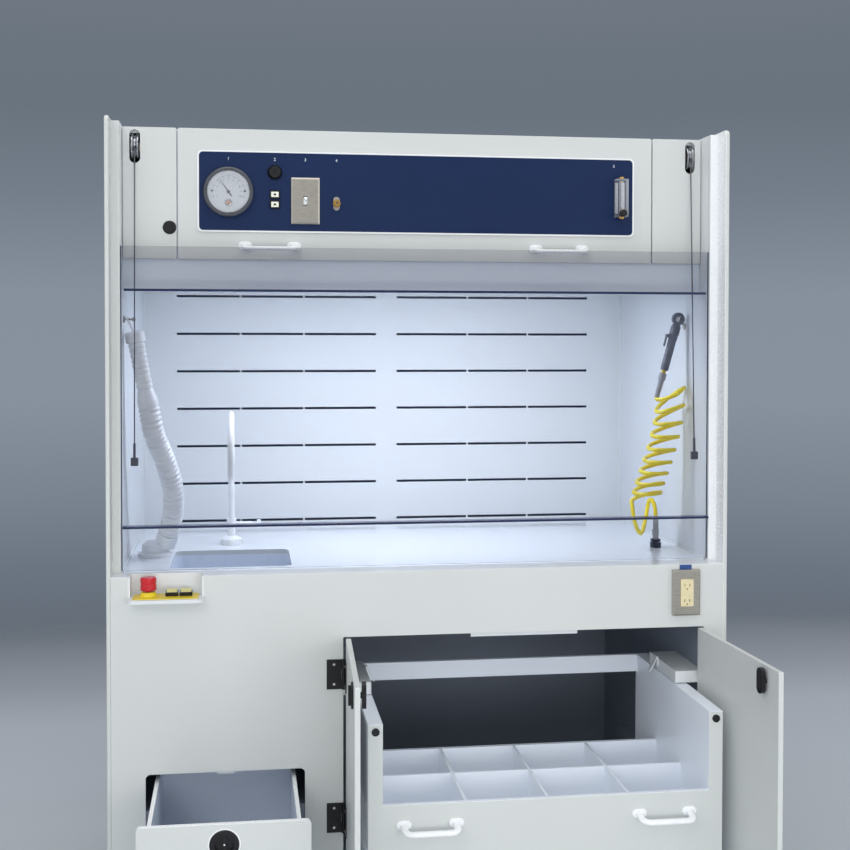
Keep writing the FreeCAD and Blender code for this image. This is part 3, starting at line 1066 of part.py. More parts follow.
# rocker switches
rocker_mid_y = header_y + rocker_y
rocker_pivot = mark_top + rocker_h - rocker_pin_drop
frames = []
for name, x in zip(("rocker_left", "rocker_right"), rocker_xs):
    w, d = rocker_w / 2, rocker_d / 2
    rim = block(x - w - rocker_frame, x + w + rocker_frame, rocker_mid_y - d - rocker_frame,
                rocker_mid_y + d + rocker_frame, mark_top, mark_top + rocker_h)
    rim = eased(rim, rocker_frame / 2, lambda c, e: abs(c.z - mark_top - rocker_h) < Precision)
    well = block(x - w, x + w, rocker_mid_y - d, rocker_mid_y + d, mark_top, mark_top + rocker_h + overrun)
    pin_bore = rod((x - w - rocker_frame / 2, rocker_mid_y, rocker_pivot),
                   (x + w + rocker_frame / 2, rocker_mid_y, rocker_pivot), rocker_pin_r + pin_gap)
    frames.append(rim.cut(well).cut(pin_bore))
    reach = d - rocker_taper
    top = rocker_pivot + rocker_pin_drop + rocker_rise / 2
    low = rocker_pivot - rocker_base
    profile = ((rocker_mid_y - reach, low), (rocker_mid_y + reach, low), (rocker_mid_y + reach, top),
               (rocker_mid_y, top - rocker_rise / 2), (rocker_mid_y - reach, top))
    key = slab("YZ", profile, x - w + fit_gap, x + w - fit_gap)
    pins = rod((x - w - rocker_frame / 2 + fit_gap, rocker_mid_y, rocker_pivot),
               (x + w + rocker_frame / 2 - fit_gap, rocker_mid_y, rocker_pivot), rocker_pin_r)
    key = turned(key.fuse(pins).removeSplitter(), (x, rocker_mid_y, rocker_pivot), (1, 0, 0), rocker_tilt)
    save(name, key)
save("black_fittings", buzzer, *bezels, plug, *frames)

# tool hooks
left_hook = inside(-hood_in, hook_left_y, hook_z)
bar_len = hand_top[0] + hood_in + hook_knob_r
profile = [(0, 0), (hook_plate_r, 0), (hook_plate_r, hook_plate_t), (hook_r, hook_plate_t)]
for r, s in ((hook_knob_r * knob_narrow_share, bar_len - 3 * hook_knob_r),
             (hook_knob_r, bar_len - hook_knob_r)):
    profile += [(hook_r, s - r), (r, s - r / 2), (r, s + r / 2), (hook_r, s + r)]
bar = spun((*profile, (0, bar_len)), left_hook, (1, 0, 0))
gun_ring_at = inside(*gun_ring)
hang_z = gun_ring_at[2] + gun_ring_bore_r - hook_r - fit_gap
hang_y = gun_ring_at[1] + hook_ahead
hook_path = soft_path(((hood_in, hang_y, hang_z - hook_slant_z),
                       (hood_in - hook_slant_x, hang_y, hang_z - hook_bend),
                       (gun_ring_at[0], hang_y, hang_z), (gun_ring_at[0], hang_y - 2 * hook_ahead, hang_z)),
                      (hook_bend, hook_bend))
hook = tube(hook_path, hook_r)
hook = hook.fuse(rod((hood_in - hook_plate_t, hang_y, hang_z - hook_slant_z),
                     (hood_in, hang_y, hang_z - hook_slant_z),
                     hook_plate_r))
hook = hook.cut(block(hood_in, half_width, hang_y - hook_ahead, hang_y + hook_ahead,
                      hang_z - 2 * hook_slant_z, hang_z))
save("tool_hooks", bar, hook)

# faucet
foot_y = header_y + faucet_y
body_top = deck_height + faucet_body_h
foot = spun(((0, 0), (faucet_foot_r, 0), (faucet_foot_r, faucet_foot_h * 2 / 3),
             (faucet_collar_r, faucet_foot_h),
             (faucet_body_r, faucet_foot_h), (faucet_body_r, faucet_body_h), (faucet_collar_r, faucet_body_h),
             (faucet_collar_r, faucet_body_h + faucet_collar_h), (0, faucet_body_h + faucet_collar_h)),
            (faucet_x, foot_y, deck_height), (0, 0, 1))
foot_round = 2 * math.pi * (faucet_foot_r - pin_gap)
foot = eased(foot, edge_r / 2, lambda c, e: e.Length > foot_round and c.z > deck_height)
valve_x = faucet_x + faucet_collar_r + faucet_valve_len
socket = foot.fuse(rod((faucet_x, foot_y, faucet_valve_z), (valve_x, foot_y, faucet_valve_z), faucet_valve_r))
socket_z = body_top + faucet_collar_h
socket = socket.cut(rod((faucet_x, foot_y, body_top), (faucet_x, foot_y, socket_z + overrun),
                        faucet_tube_r + pin_gap))
save("faucet_body", socket.removeSplitter())
neck_z = faucet_top - faucet_tube_r
spout_x, spout_y = faucet_x, foot_y - faucet_reach
bow = faucet_reach / 2
column = Part.LineSegment(V(faucet_x, foot_y, body_top + fit_gap),
                          V(faucet_x, foot_y, neck_z - bow)).toShape()
arch = Part.Arc(V(faucet_x, foot_y, neck_z - bow), V(faucet_x, foot_y - bow, neck_z),
                V(spout_x, spout_y, neck_z - bow)).toShape()
drop_edge = Part.LineSegment(V(spout_x, spout_y, neck_z - bow),
                             V(spout_x, spout_y, faucet_outlet_z)).toShape()
spout_path = Part.Wire([column, arch, drop_edge])
save("faucet_spout", tube(spout_path, faucet_tube_r).cut(tube(spout_path, faucet_bore_r)))
wheel_x = valve_x + fit_gap
wheel = spun(((0, 0), (faucet_spindle_r, 0), (faucet_spindle_r, faucet_spindle_len),
              (faucet_wheel_r, faucet_spindle_len), (faucet_wheel_r, faucet_spindle_len + faucet_wheel_w),
              (0, faucet_spindle_len + faucet_wheel_w)), (wheel_x, foot_y, faucet_valve_z), (1, 0, 0))
for i in range(faucet_flutes):
    a = 2 * math.pi * i / faucet_flutes
    y = foot_y + (faucet_wheel_r + edge_r / 2) * math.cos(a)
    z = faucet_valve_z + (faucet_wheel_r + edge_r / 2) * math.sin(a)
    wheel = wheel.cut(rod((wheel_x, y, z), (wheel_x + faucet_spindle_len + faucet_wheel_w + overrun, y, z),
                          edge_r))
save("faucet_knob", wheel)


# hose hand piece
def unit(vector):
    """A vector of length one."""
    return V(vector).normalize()


hand_a, hand_b = V(*inside(*hand_top)), V(*inside(*hand_low))
hand_axis = unit(hand_b - hand_a)
hand_len = (hand_b - hand_a).Length
ribs_from, ribs_to = hand_cap_len + edge_r, hand_len - hand_cuff_len
rib_pitch = (ribs_to - ribs_from) / hand_ribs
profile = [(0, 0), (hand_cap_r - edge_r, 0), (hand_cap_r, edge_r), (hand_cap_r, hand_cap_len),
           (hand_neck_r, ribs_from)]
for i in range(hand_ribs):
    start = ribs_from + i * rib_pitch
    profile += [(hand_rib_r, start + rib_pitch / 4), (hand_rib_r, start + rib_pitch * 3 / 4),
                (hand_neck_r, start + rib_pitch)]
profile += [(hand_cuff_r, ribs_to + edge_r), (hand_cuff_end_r, hand_len - hand_cuff_len / 3),
            (hand_cuff_end_r, hand_len),
            (hand_bore_r, hand_len), (hand_bore_r, hand_cap_len), (0, hand_cap_len)]
hand = spun(profile, hand_a, hand_axis)
eye = (hand_eye_x, left_hook[1], left_hook[2])
loop = rod((eye[0] - hand_eye_t / 2, eye[1], eye[2]), (eye[0] + hand_eye_t / 2, eye[1], eye[2]), hand_eye_r)
strap_end = hand_a + hand_axis * edge_r
hand = hand.fuse(loop).fuse(rod(eye, strap_end, hand_strap_r))
hand = hand.cut(rod((eye[0] - hand_eye_t, eye[1], eye[2]), (eye[0] + hand_eye_t, eye[1], eye[2]),
                    hook_knob_r * knob_narrow_share + fit_gap))
save("hand_piece", hand.removeSplitter())


# ribbed hose and its deck elbow
def chain(nodes):
    """The edges of one smooth line through points with headings."""
    edges = []
    for (p0, t0), (p1, t1) in zip(nodes, nodes[1:]):
        edges += biarc(p0, t0, p1, t1)
    return edges


def stations(edges, count):
    """Points and headings evenly spaced along a chain of edges, both ends included."""
    total = sum(e.Length for e in edges)
    found, before, i = [], 0.0, 0
    for k in range(count + 1):
        s = total * k / count
        while i < len(edges) - 1 and s > before + edges[i].Length:
            before += edges[i].Length
            i += 1
        edge = edges[i]
        u = edge.getParameterByLength(min(max(s - before, 0.0), edge.Length))
        found.append((edge.valueAt(u), edge.tangentAt(u)))
    return found


def hoop(centre, heading, r):
    """A circle square to a heading, with its start kept toward +X."""
    ring = Part.makeCircle(r)
    ring.Placement = FreeCAD.Placement(centre, FreeCAD.Rotation(V(1, 0, 0), V(0, 0, 0), heading, "ZXY"))
    return Part.Wire(ring)


def headings(points, first, last):
    """Each point of a route with its heading, the two ends given."""
    nodes = [(points[0], first)]
    for a, b, c in zip(points, points[1:], points[2:]):
        nodes.append((b, unit(unit(b - a) + unit(c - b))))
    nodes.append((points[-1], last))
    return nodes


mouth = V(*by_wall(-1, *hose_foot))
mouth_axis = unit(V(*hose_foot_heading))
hose_a = hand_b + hand_axis * hose_end_gap
hose_b = mouth + mouth_axis * hose_end_gap
points = [V(*by_wall(-1, *p)) for p in hose_route]
points = [hose_a + hand_axis * hose_lead] + points + [hose_b + mouth_axis * hose_lead]
nodes = headings(points, hand_axis, mouth_axis * -1)
line = [Part.LineSegment(hose_a, points[0]).toShape()] + chain(nodes)
line.append(Part.LineSegment(points[-1], hose_b).toShape())
places = stations(line, 4 * hose_ribs)
radii = (hose_valley_r, hose_valley_r, hose_crest_r, hose_crest_r)
skin = Part.makeLoft([hoop(p, t, radii[i % 4]) for i, (p, t) in enumerate(places)], True, True)
lumen = Part.makeLoft([hoop(p, t, hose_bore_r) for p, t in places[::4]], True, True)
save("ribbed_hose", skin.cut(lumen))
print("hose radii:", sorted({round(e.Curve.Radius, 1) for e in line if hasattr(e.Curve, "Radius")}))

elbow_top = deck_height + elbow_height
elbow = spun(((0, 0), (elbow_foot_r, 0), (elbow_foot_r, elbow_foot_h), (elbow_r, elbow_foot_h),
              (elbow_r, elbow_height * 3 / 4), (elbow_r / 2, elbow_height), (0, elbow_height)),
             inside(elbow_x, elbow_y, deck_height), (0, 0, 1))
mouth_root = mouth - mouth_axis * (elbow_mouth_len * 2)
elbow = elbow.fuse(rod(mouth_root, mouth, elbow_mouth_r))
elbow = elbow.cut(rod(mouth - mouth_axis * elbow_mouth_len, mouth + mouth_axis * overrun, hose_bore_r))
elbow = elbow.cut(block(-side_in, 0, header_y, rear_y, 0, deck_height)).removeSplitter()
save("hose_elbow", elbow)

# coil hose and its deck fitting
ring_z = coil_base_h + coil_ring_gap
nut_z = ring_z + coil_ring_h + coil_nut_gap
relief_z = nut_z + coil_nut_h
fitting = spun(((0, 0), (coil_base_r, 0), (coil_base_r, coil_base_h), (coil_neck_r, coil_base_h),
                (coil_neck_r, ring_z),
                (coil_ring_r, ring_z), (coil_ring_r, ring_z + coil_ring_h),
                (coil_neck_r, ring_z + coil_ring_h),
                (coil_neck_r, nut_z), (coil_relief_r, nut_z), (coil_relief_r, relief_z + coil_relief_h),
                (0, relief_z + coil_relief_h)), inside(coil_fit_x, coil_fit_y, deck_height), (0, 0, 1))
fit_y = header_y + coil_fit_y
hexagon = [(coil_fit_x + coil_nut_r * math.cos(math.radians(a)),
            fit_y + coil_nut_r * math.sin(math.radians(a)))
           for a in range(0, 360, 60)]
nut = slab("XY", hexagon, deck_height + nut_z, deck_height + relief_z)
save("coil_fitting", fitting.fuse(nut).removeSplitter())


def coil_point(t):
    """A point of the coil t turns down from its top, starting on the left side, the right side lifted."""
    i = min(int(t), len(coil_axis) - 2)
    a, b = V(*by_wall(1, *coil_axis[i])), V(*by_wall(1, *coil_axis[i + 1]))
    tilt = coil_tilts[i] + (coil_tilts[i + 1] - coil_tilts[i]) * (t - i)
    angle = math.pi + 2 * math.pi * t
    lift = V(0, 0, tilt * (1 + math.cos(angle)) / 2)
    return a + (b - a) * (t - i) + V(math.cos(angle), math.sin(angle), 0) * coil_r + lift


turns = len(coil_axis) - 1
gun_a, gun_b = V(*gun_ring_at), V(*inside(*gun_end))
gun_axis = unit(gun_b - gun_a)
start = gun_b + gun_axis * hose_end_gap
nodes = [(start + gun_axis * coil_lead, gun_axis)]
for t in [coil_first] + [k / coil_steps for k in range(1, turns * coil_steps + 1)]:
    heading = unit(coil_point(t + coil_look_share) - coil_point(t - coil_look_share))
    nodes.append((coil_point(t), heading))
nodes += [(V(*by_wall(1, *p)), unit(V(*h))) for p, h in coil_tail]
finish = V(coil_fit_x, fit_y, deck_height + relief_z + coil_relief_h + hose_end_gap)
down = V(0, 0, -1)
nodes.append((finish - down * coil_lead, down))
edges = [Part.LineSegment(start, nodes[0][0]).toShape()] + chain(nodes)
edges.append(Part.LineSegment(nodes[-1][0], finish).toShape())
coil_path = Part.Wire(edges)
coil = tube(coil_path, coil_tube_r)
save("coil_hose", coil)
print("coil volume share:", round(coil.Volume / (coil_path.Length * math.pi * coil_tube_r ** 2), 4))
print("coil least radius:", round(min(e.Curve.Radius for e in edges if hasattr(e.Curve, "Radius")), 1))
samples = [p for p, t in stations(edges, int(coil_path.Length / coil_tube_r))]
least = min((p - q).Length for i, p in enumerate(samples) for q in samples[i + coil_gap_points:])
print("coil least gap:", round(least - 2 * coil_tube_r, 2))

# air gun
gun_side = unit(V(gun_axis.z, 0, -gun_axis.x))


def gun_point(along_axis, out):
    """A point on the air gun from its distance down the axis and out to the lever side."""
    return gun_a + gun_axis * along_axis + gun_side * out


gun_len = (gun_b - gun_a).Length
grip = spun(((0, gun_ring_bore_r + gun_waist), (gun_throat_r, gun_ring_bore_r + gun_waist),
             (gun_neck_r, gun_neck_at),
             (gun_neck_r, gun_collar_at - gun_waist), (gun_handle_r, gun_collar_at),
             (gun_collar_r, gun_collar_at + gun_waist),
             (gun_collar_r, gun_handle_at - gun_waist), (gun_handle_r, gun_handle_at),
             (gun_handle_r, gun_handle_end - gun_waist),
             (gun_handle_r - gun_waist, gun_handle_end), (0, gun_handle_end)), gun_a, gun_axis)
ring = rod(gun_a - V(0, gun_ring_t / 2, 0), gun_a + V(0, gun_ring_t / 2, 0), gun_ring_r)
ring = eased(ring, edge_r, lambda c, e: e.Length > gun_ring_r * 2 * math.pi - pin_gap)
hole = rod(gun_a - V(0, gun_ring_t, 0), gun_a + V(0, gun_ring_t, 0), gun_ring_bore_r)
ear_at = gun_point(gun_lever_at, gun_ear_out)
for side in (-1, 1):
    y = gun_lever_w / 2 + fit_gap
    y1, y2 = side * y, side * (y + gun_ear_t)
    ear = rod(ear_at + V(0, y1, 0), ear_at + V(0, y2, 0), gun_ear_r)
    root = gun_side * -gun_ear_out / 2
    web = [ear_at + gun_axis * gun_ear_r, ear_at - gun_axis * gun_ear_r,
           ear_at - gun_axis * gun_ear_r + root, ear_at + gun_axis * gun_ear_r + root]
    strut = slab("XZ", [(p.x, p.z) for p in web], ear_at.y + y1, ear_at.y + y2)
    grip = grip.fuse(ear).fuse(strut)
pin_half = gun_lever_w / 2 + fit_gap + gun_ear_t
pin = rod(ear_at - V(0, pin_half, 0), ear_at + V(0, pin_half, 0), gun_pin_r)
grip = grip.fuse(ring).cut(hole).fuse(pin).removeSplitter()
bit = spun(((0, gun_handle_end), (gun_bit_r, gun_handle_end), (gun_bit_r, gun_nut_at), (0, gun_nut_at)),
           gun_a, gun_axis)
tail = spun(((0, gun_nut_at), (gun_nut_r, gun_nut_at), (gun_nut_r, gun_nut_end),
             (gun_relief_r, gun_nut_end + gun_waist),
             (gun_relief_end_r, gun_len), (0, gun_len)), gun_a, gun_axis)
save("air_gun", grip, bit, tail)
eye_r = gun_ear_r - fit_gap
paddle = [gun_point(gun_lever_at, gun_ear_out + eye_r),
          gun_point(gun_lever_at, gun_ear_out + eye_r - gun_lever_t),
          gun_point(gun_lever_at + gun_lever_len, gun_handle_r + gun_lever_lift + gun_waist),
          gun_point(gun_lever_at + gun_lever_len, gun_handle_r + gun_lever_lift + gun_waist + gun_lever_t)]
lever = slab("XZ", [(p.x, p.z) for p in paddle], gun_a.y - gun_lever_w / 2, gun_a.y + gun_lever_w / 2)
lever = lever.fuse(rod(ear_at - V(0, gun_lever_w / 2, 0), ear_at + V(0, gun_lever_w / 2, 0), eye_r))
lever = lever.cut(rod(ear_at - V(0, gun_lever_w, 0), ear_at + V(0, gun_lever_w, 0), gun_pin_r + pin_gap))
save("air_gun_lever", lever.removeSplitter())
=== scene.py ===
"""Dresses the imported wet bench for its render: finishes on every solid, hoses, dial, scales and welds."""

import logging
import math
from dataclasses import dataclass
from enum import Enum
from typing import Callable, Iterable, Sequence

import bmesh
import bpy
from mathutils import Matrix, Vector


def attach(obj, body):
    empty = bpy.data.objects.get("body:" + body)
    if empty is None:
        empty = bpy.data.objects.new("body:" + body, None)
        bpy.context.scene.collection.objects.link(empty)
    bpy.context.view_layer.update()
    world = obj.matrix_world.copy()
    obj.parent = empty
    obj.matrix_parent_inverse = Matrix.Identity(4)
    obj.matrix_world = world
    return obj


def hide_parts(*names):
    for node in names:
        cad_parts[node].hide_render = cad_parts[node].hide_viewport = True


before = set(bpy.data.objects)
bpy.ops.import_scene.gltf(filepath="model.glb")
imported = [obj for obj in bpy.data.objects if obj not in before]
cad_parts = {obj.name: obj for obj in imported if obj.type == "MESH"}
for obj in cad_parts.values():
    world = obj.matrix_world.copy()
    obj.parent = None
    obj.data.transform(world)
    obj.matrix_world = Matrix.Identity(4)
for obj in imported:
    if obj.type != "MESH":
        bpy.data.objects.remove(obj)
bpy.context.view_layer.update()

LOG = logging.getLogger("wet_bench")
MM = 0.001
Colour = tuple[float, float, float]
Point = tuple[float, float, float]
Outline = Sequence[tuple[float, float]]
Socket = bpy.types.NodeSocket

# Shared places of the bench, in millimetres
HOOD_IN = 732.0
HEADER_Y = -110.34
POST_Y = -176.34
FRONT_Y = -231.34
REAR_Y = 682.66
DECK_Z = 914.0
PANEL_FACE = HEADER_Y - 3.0
PANE_FRONT = HEADER_Y - 56.0
BAFFLE_Y = REAR_Y - 76.0
CEILING_Z = 1616.0
PRINT_DEPTH = 0.2
FRONT: Point = (0.0, -1.0, 0.0)
UP: Point = (0.0, 0.0, 1.0)

# The reach of most noise values, of 0 to 1
NOISE_LOW, NOISE_HIGH = 0.3, 0.7


def inside(x: float, y: float, z: float) -> Point:
    """A point in millimetres whose depth is given from the header cover face."""
    return x, HEADER_Y + y, z


GUN_RING = inside(706.5, 100.0, 1531.0)
GUN_END = inside(648.6, 100.0, 1323.0)


def metres(point: Sequence[float]) -> Vector:
    """A point in millimetres as a vector in metres."""
    return Vector(point) * MM


def linear(colour: Colour) -> tuple[float, float, float, float]:
    """A display colour of 0 to 255 as linear values with full alpha."""
    values = [c / 255 for c in colour]
    return (*[v / 12.92 if v <= 0.04045 else ((v + 0.055) / 1.055) ** 2.4 for v in values], 1.0)


def lay_tones(ramp: bpy.types.ColorRamp, tones: Sequence[tuple[float, Colour]]) -> None:
    """Fills a colour ramp with display colours at their positions, in rising order."""
    ramp.elements.remove(ramp.elements[1])
    for k, (position, colour) in enumerate(tones):
        stop = ramp.elements.new(position) if k else ramp.elements[0]
        stop.position, stop.color = position, linear(colour)


class Body(Enum):
    """The bodies of the bench that added pieces ride on."""

    BENCH = "bench"
    SASH = "sash"
    UPPER_BUTTON = "upper_button"
    LOWER_BUTTON = "lower_button"
    SMALL_TRAY = "small_tray"
    TRAY_LATCH = "tray_latch"


# Finishes
class Tree:
    """A node tree whose nodes are added with their inputs set or linked by name."""

    def __init__(self, tree: bpy.types.NodeTree) -> None:
        """Takes up a tree.

        Args:
            tree: The tree.
        """
        self.nodes, self.links = tree.nodes, tree.links

    def add(self, kind: str, values: dict[str, object] | None = None, **settings: object) -> bpy.types.Node:
        """Adds a node.

        Args:
            kind: The node's type name.
            values: Input names or numbers, each with a value or a socket to link.
            settings: Properties of the node.

        Returns:
            The new node.
        """
        node = self.nodes.new(kind)
        for key, value in settings.items():
            setattr(node, key, value)
        for key, value in (values or {}).items():
            socket = node.inputs[int(key)] if key.isdigit() else node.inputs[key]
            if isinstance(value, Socket):
                self.links.new(value, socket)
            else:
                socket.default_value = value
        return node

    def mapped(self, value: Socket, start: float, end: float, low: float = 0.0, high: float = 1.0,
               **settings: object) -> Socket:
        """A value carried over from the range of start to end to that of low to high."""
        return self.add("ShaderNodeMapRange", {"Value": value, "From Min": start, "From Max": end, "To Min": low,
                                               "To Max": high}, **settings).outputs[0]


class ShaderTree(Tree):
    """The node tree of one material, with its Principled shader."""

    def __init__(self, name: str) -> None:
        """Starts a material.

        Args:
            name: The finish's name.
        """
        self.material = bpy.data.materials.new(name)
        self.material.use_nodes = True
        super().__init__(self.material.node_tree)
        self.shader = self.nodes["Principled BSDF"]
        self.place = self.nodes.new("ShaderNodeTexCoord").outputs["Object"]

    def feed(self, name: str, value: Socket) -> None:
        """Links a value to one of the shader's inputs."""
        self.links.new(value, self.shader.inputs[name])

    def noise(self, scale: float, detail: float = 3.0, stretch: Point = (1.0, 1.0, 1.0)) -> Socket:
        """Cloudy values of 0 to 1 on the piece's own coordinates.

        Args:
            scale: How many clouds there are to a metre.
            detail: How fine the clouds break up.
            stretch: How much the clouds are squeezed along each axis.

        Returns:
            The noise's value socket.
        """
        mapped = self.add("ShaderNodeMapping", {"Vector": self.place, "Scale": stretch})
        return self.add("ShaderNodeTexNoise", {"Vector": mapped.outputs[0], "Scale": scale,
                                               "Detail": detail}).outputs["Fac"]

    def spread(self, value: Socket, low: float, high: float) -> Socket:
        """Noise mapped from its usual reach to a range."""
        return self.mapped(value, NOISE_LOW, NOISE_HIGH, low, high)

    def tint(self, value: Socket, low: Colour, high: Colour) -> None:
        """Base colour that runs between two display colours with a value."""
        ramp = self.add("ShaderNodeValToRGB", {"Fac": value})
        ends = ramp.color_ramp.elements
        ends[0].position, ends[1].position = NOISE_LOW, NOISE_HIGH
        ends[0].color, ends[1].color = linear(low), linear(high)
        self.feed("Base Color", ramp.outputs[0])

    def bump(self, height: Socket, strength: float, depth: float) -> None:
        """Fine relief from a height value."""
        node = self.add("ShaderNodeBump", {"Height": height, "Strength": strength, "Distance": depth})
        self.feed("Normal", node.outputs[0])

    def set(self, **values: object) -> None:
        """Shader values by name, with underscores for spaces."""
        for key, value in values.items():
            self.shader.inputs[key.replace("_", " ")].default_value = value


def shaded(colour: Colour, share: float) -> Colour:
    """A display colour made darker or lighter by a share."""
    return tuple(max(0.0, min(255.0, c * (1 + share))) for c in colour)


@dataclass(frozen=True)
class Plastic:
    """Sheet or moulded plastic with faint clouds, fine grain and an uneven gloss."""

    name: str
    colour: Colour
    roughness: float = 0.4
    clouds: float = 0.02
    cloud_scale: float = 5.0
    grain: float = 0.08
    grain_scale: float = 900.0
    level: float = 0.5
    scatter: float = 0.0
    coat: float = 0.0
    # Emission on a surface that is no lamp: painted light that brightens it.
    painted_glow: float = 0.0

    def make(self) -> bpy.types.Material:
        """The finish as a material."""
        tree = ShaderTree(self.name)
        clouds = tree.noise(self.cloud_scale, 4.0)
        tree.tint(clouds, shaded(self.colour, -self.clouds), shaded(self.colour, self.clouds))
        gloss = tree.noise(self.cloud_scale * 9, 3.0)
        tree.feed("Roughness", tree.spread(gloss, self.roughness * 0.85, self.roughness * 1.15))
        tree.bump(tree.noise(self.grain_scale, 2.0), self.grain, 0.0006)
        tree.set(Specular_IOR_Level=self.level, Coat_Weight=self.coat, Coat_Roughness=0.12)
        if self.scatter:
            tree.set(Subsurface_Weight=self.scatter, Subsurface_Radius=(0.02, 0.02, 0.022), Subsurface_Scale=0.3)
        if self.painted_glow:
            tree.set(Emission_Color=linear(self.colour), Emission_Strength=self.painted_glow)
        return tree.material


@dataclass(frozen=True)
class Metal:
    """Metal with brushed streaks along one axis, or plain where the streaks are weak."""

    name: str
    colour: Colour
    roughness: float = 0.3
    streaks: float = 0.12
    stretch: Point = (1.0, 1.0, 40.0)
    scale: float = 60.0
    relief: float = 0.05

    def make(self) -> bpy.types.Material:
        """The finish as a material."""
        tree = ShaderTree(self.name)
        lines = tree.noise(self.scale, 4.0, self.stretch)
        tree.tint(lines, shaded(self.colour, -self.streaks), shaded(self.colour, self.streaks / 2))
        tree.feed("Roughness", tree.spread(lines, self.roughness * 0.8, self.roughness * 1.3))
        tree.bump(lines, self.relief, 0.0004)
        tree.set(Metallic=1.0)
        return tree.material


@dataclass(frozen=True)
class ClearSheet:
    """Clear sheet with a faint tint: see-through from the front and glossy at a slant."""

    name: str
    colour: Colour
    body: float = 0.15
    roughness: float = 0.03
    ior: float = 1.45

    def make(self) -> bpy.types.Material:
        """The finish as a material."""
        tree = ShaderTree(self.name)
        clouds = tree.noise(3.0, 2.0)
        tree.tint(clouds, shaded(self.colour, -0.02), shaded(self.colour, 0.02))
        tree.feed("Roughness", tree.spread(tree.noise(20.0), self.roughness * 0.7, self.roughness * 1.4))
        slant = tree.add("ShaderNodeFresnel", {"IOR": self.ior}).outputs[0]
        tree.feed("Alpha", tree.mapped(slant, 0.0, 1.0, self.body, 1.0))
        tree.set(IOR=self.ior)
        return tree.material


@dataclass(frozen=True)
class Glow:
    """A diffuser that is lit from behind."""

    name: str
    colour: Colour
    strength: float

    def make(self) -> bpy.types.Material:
        """The finish as a material."""
        tree = ShaderTree(self.name)
        cells = tree.noise(300.0, 2.0)
        tree.tint(cells, shaded(self.colour, -0.03), self.colour)
        tree.bump(cells, 0.3, 0.001)
        tree.set(Emission_Color=linear(self.colour), Emission_Strength=self.strength, Roughness=0.4)
        return tree.material


finish_materials: dict[str, bpy.types.Material] = {}


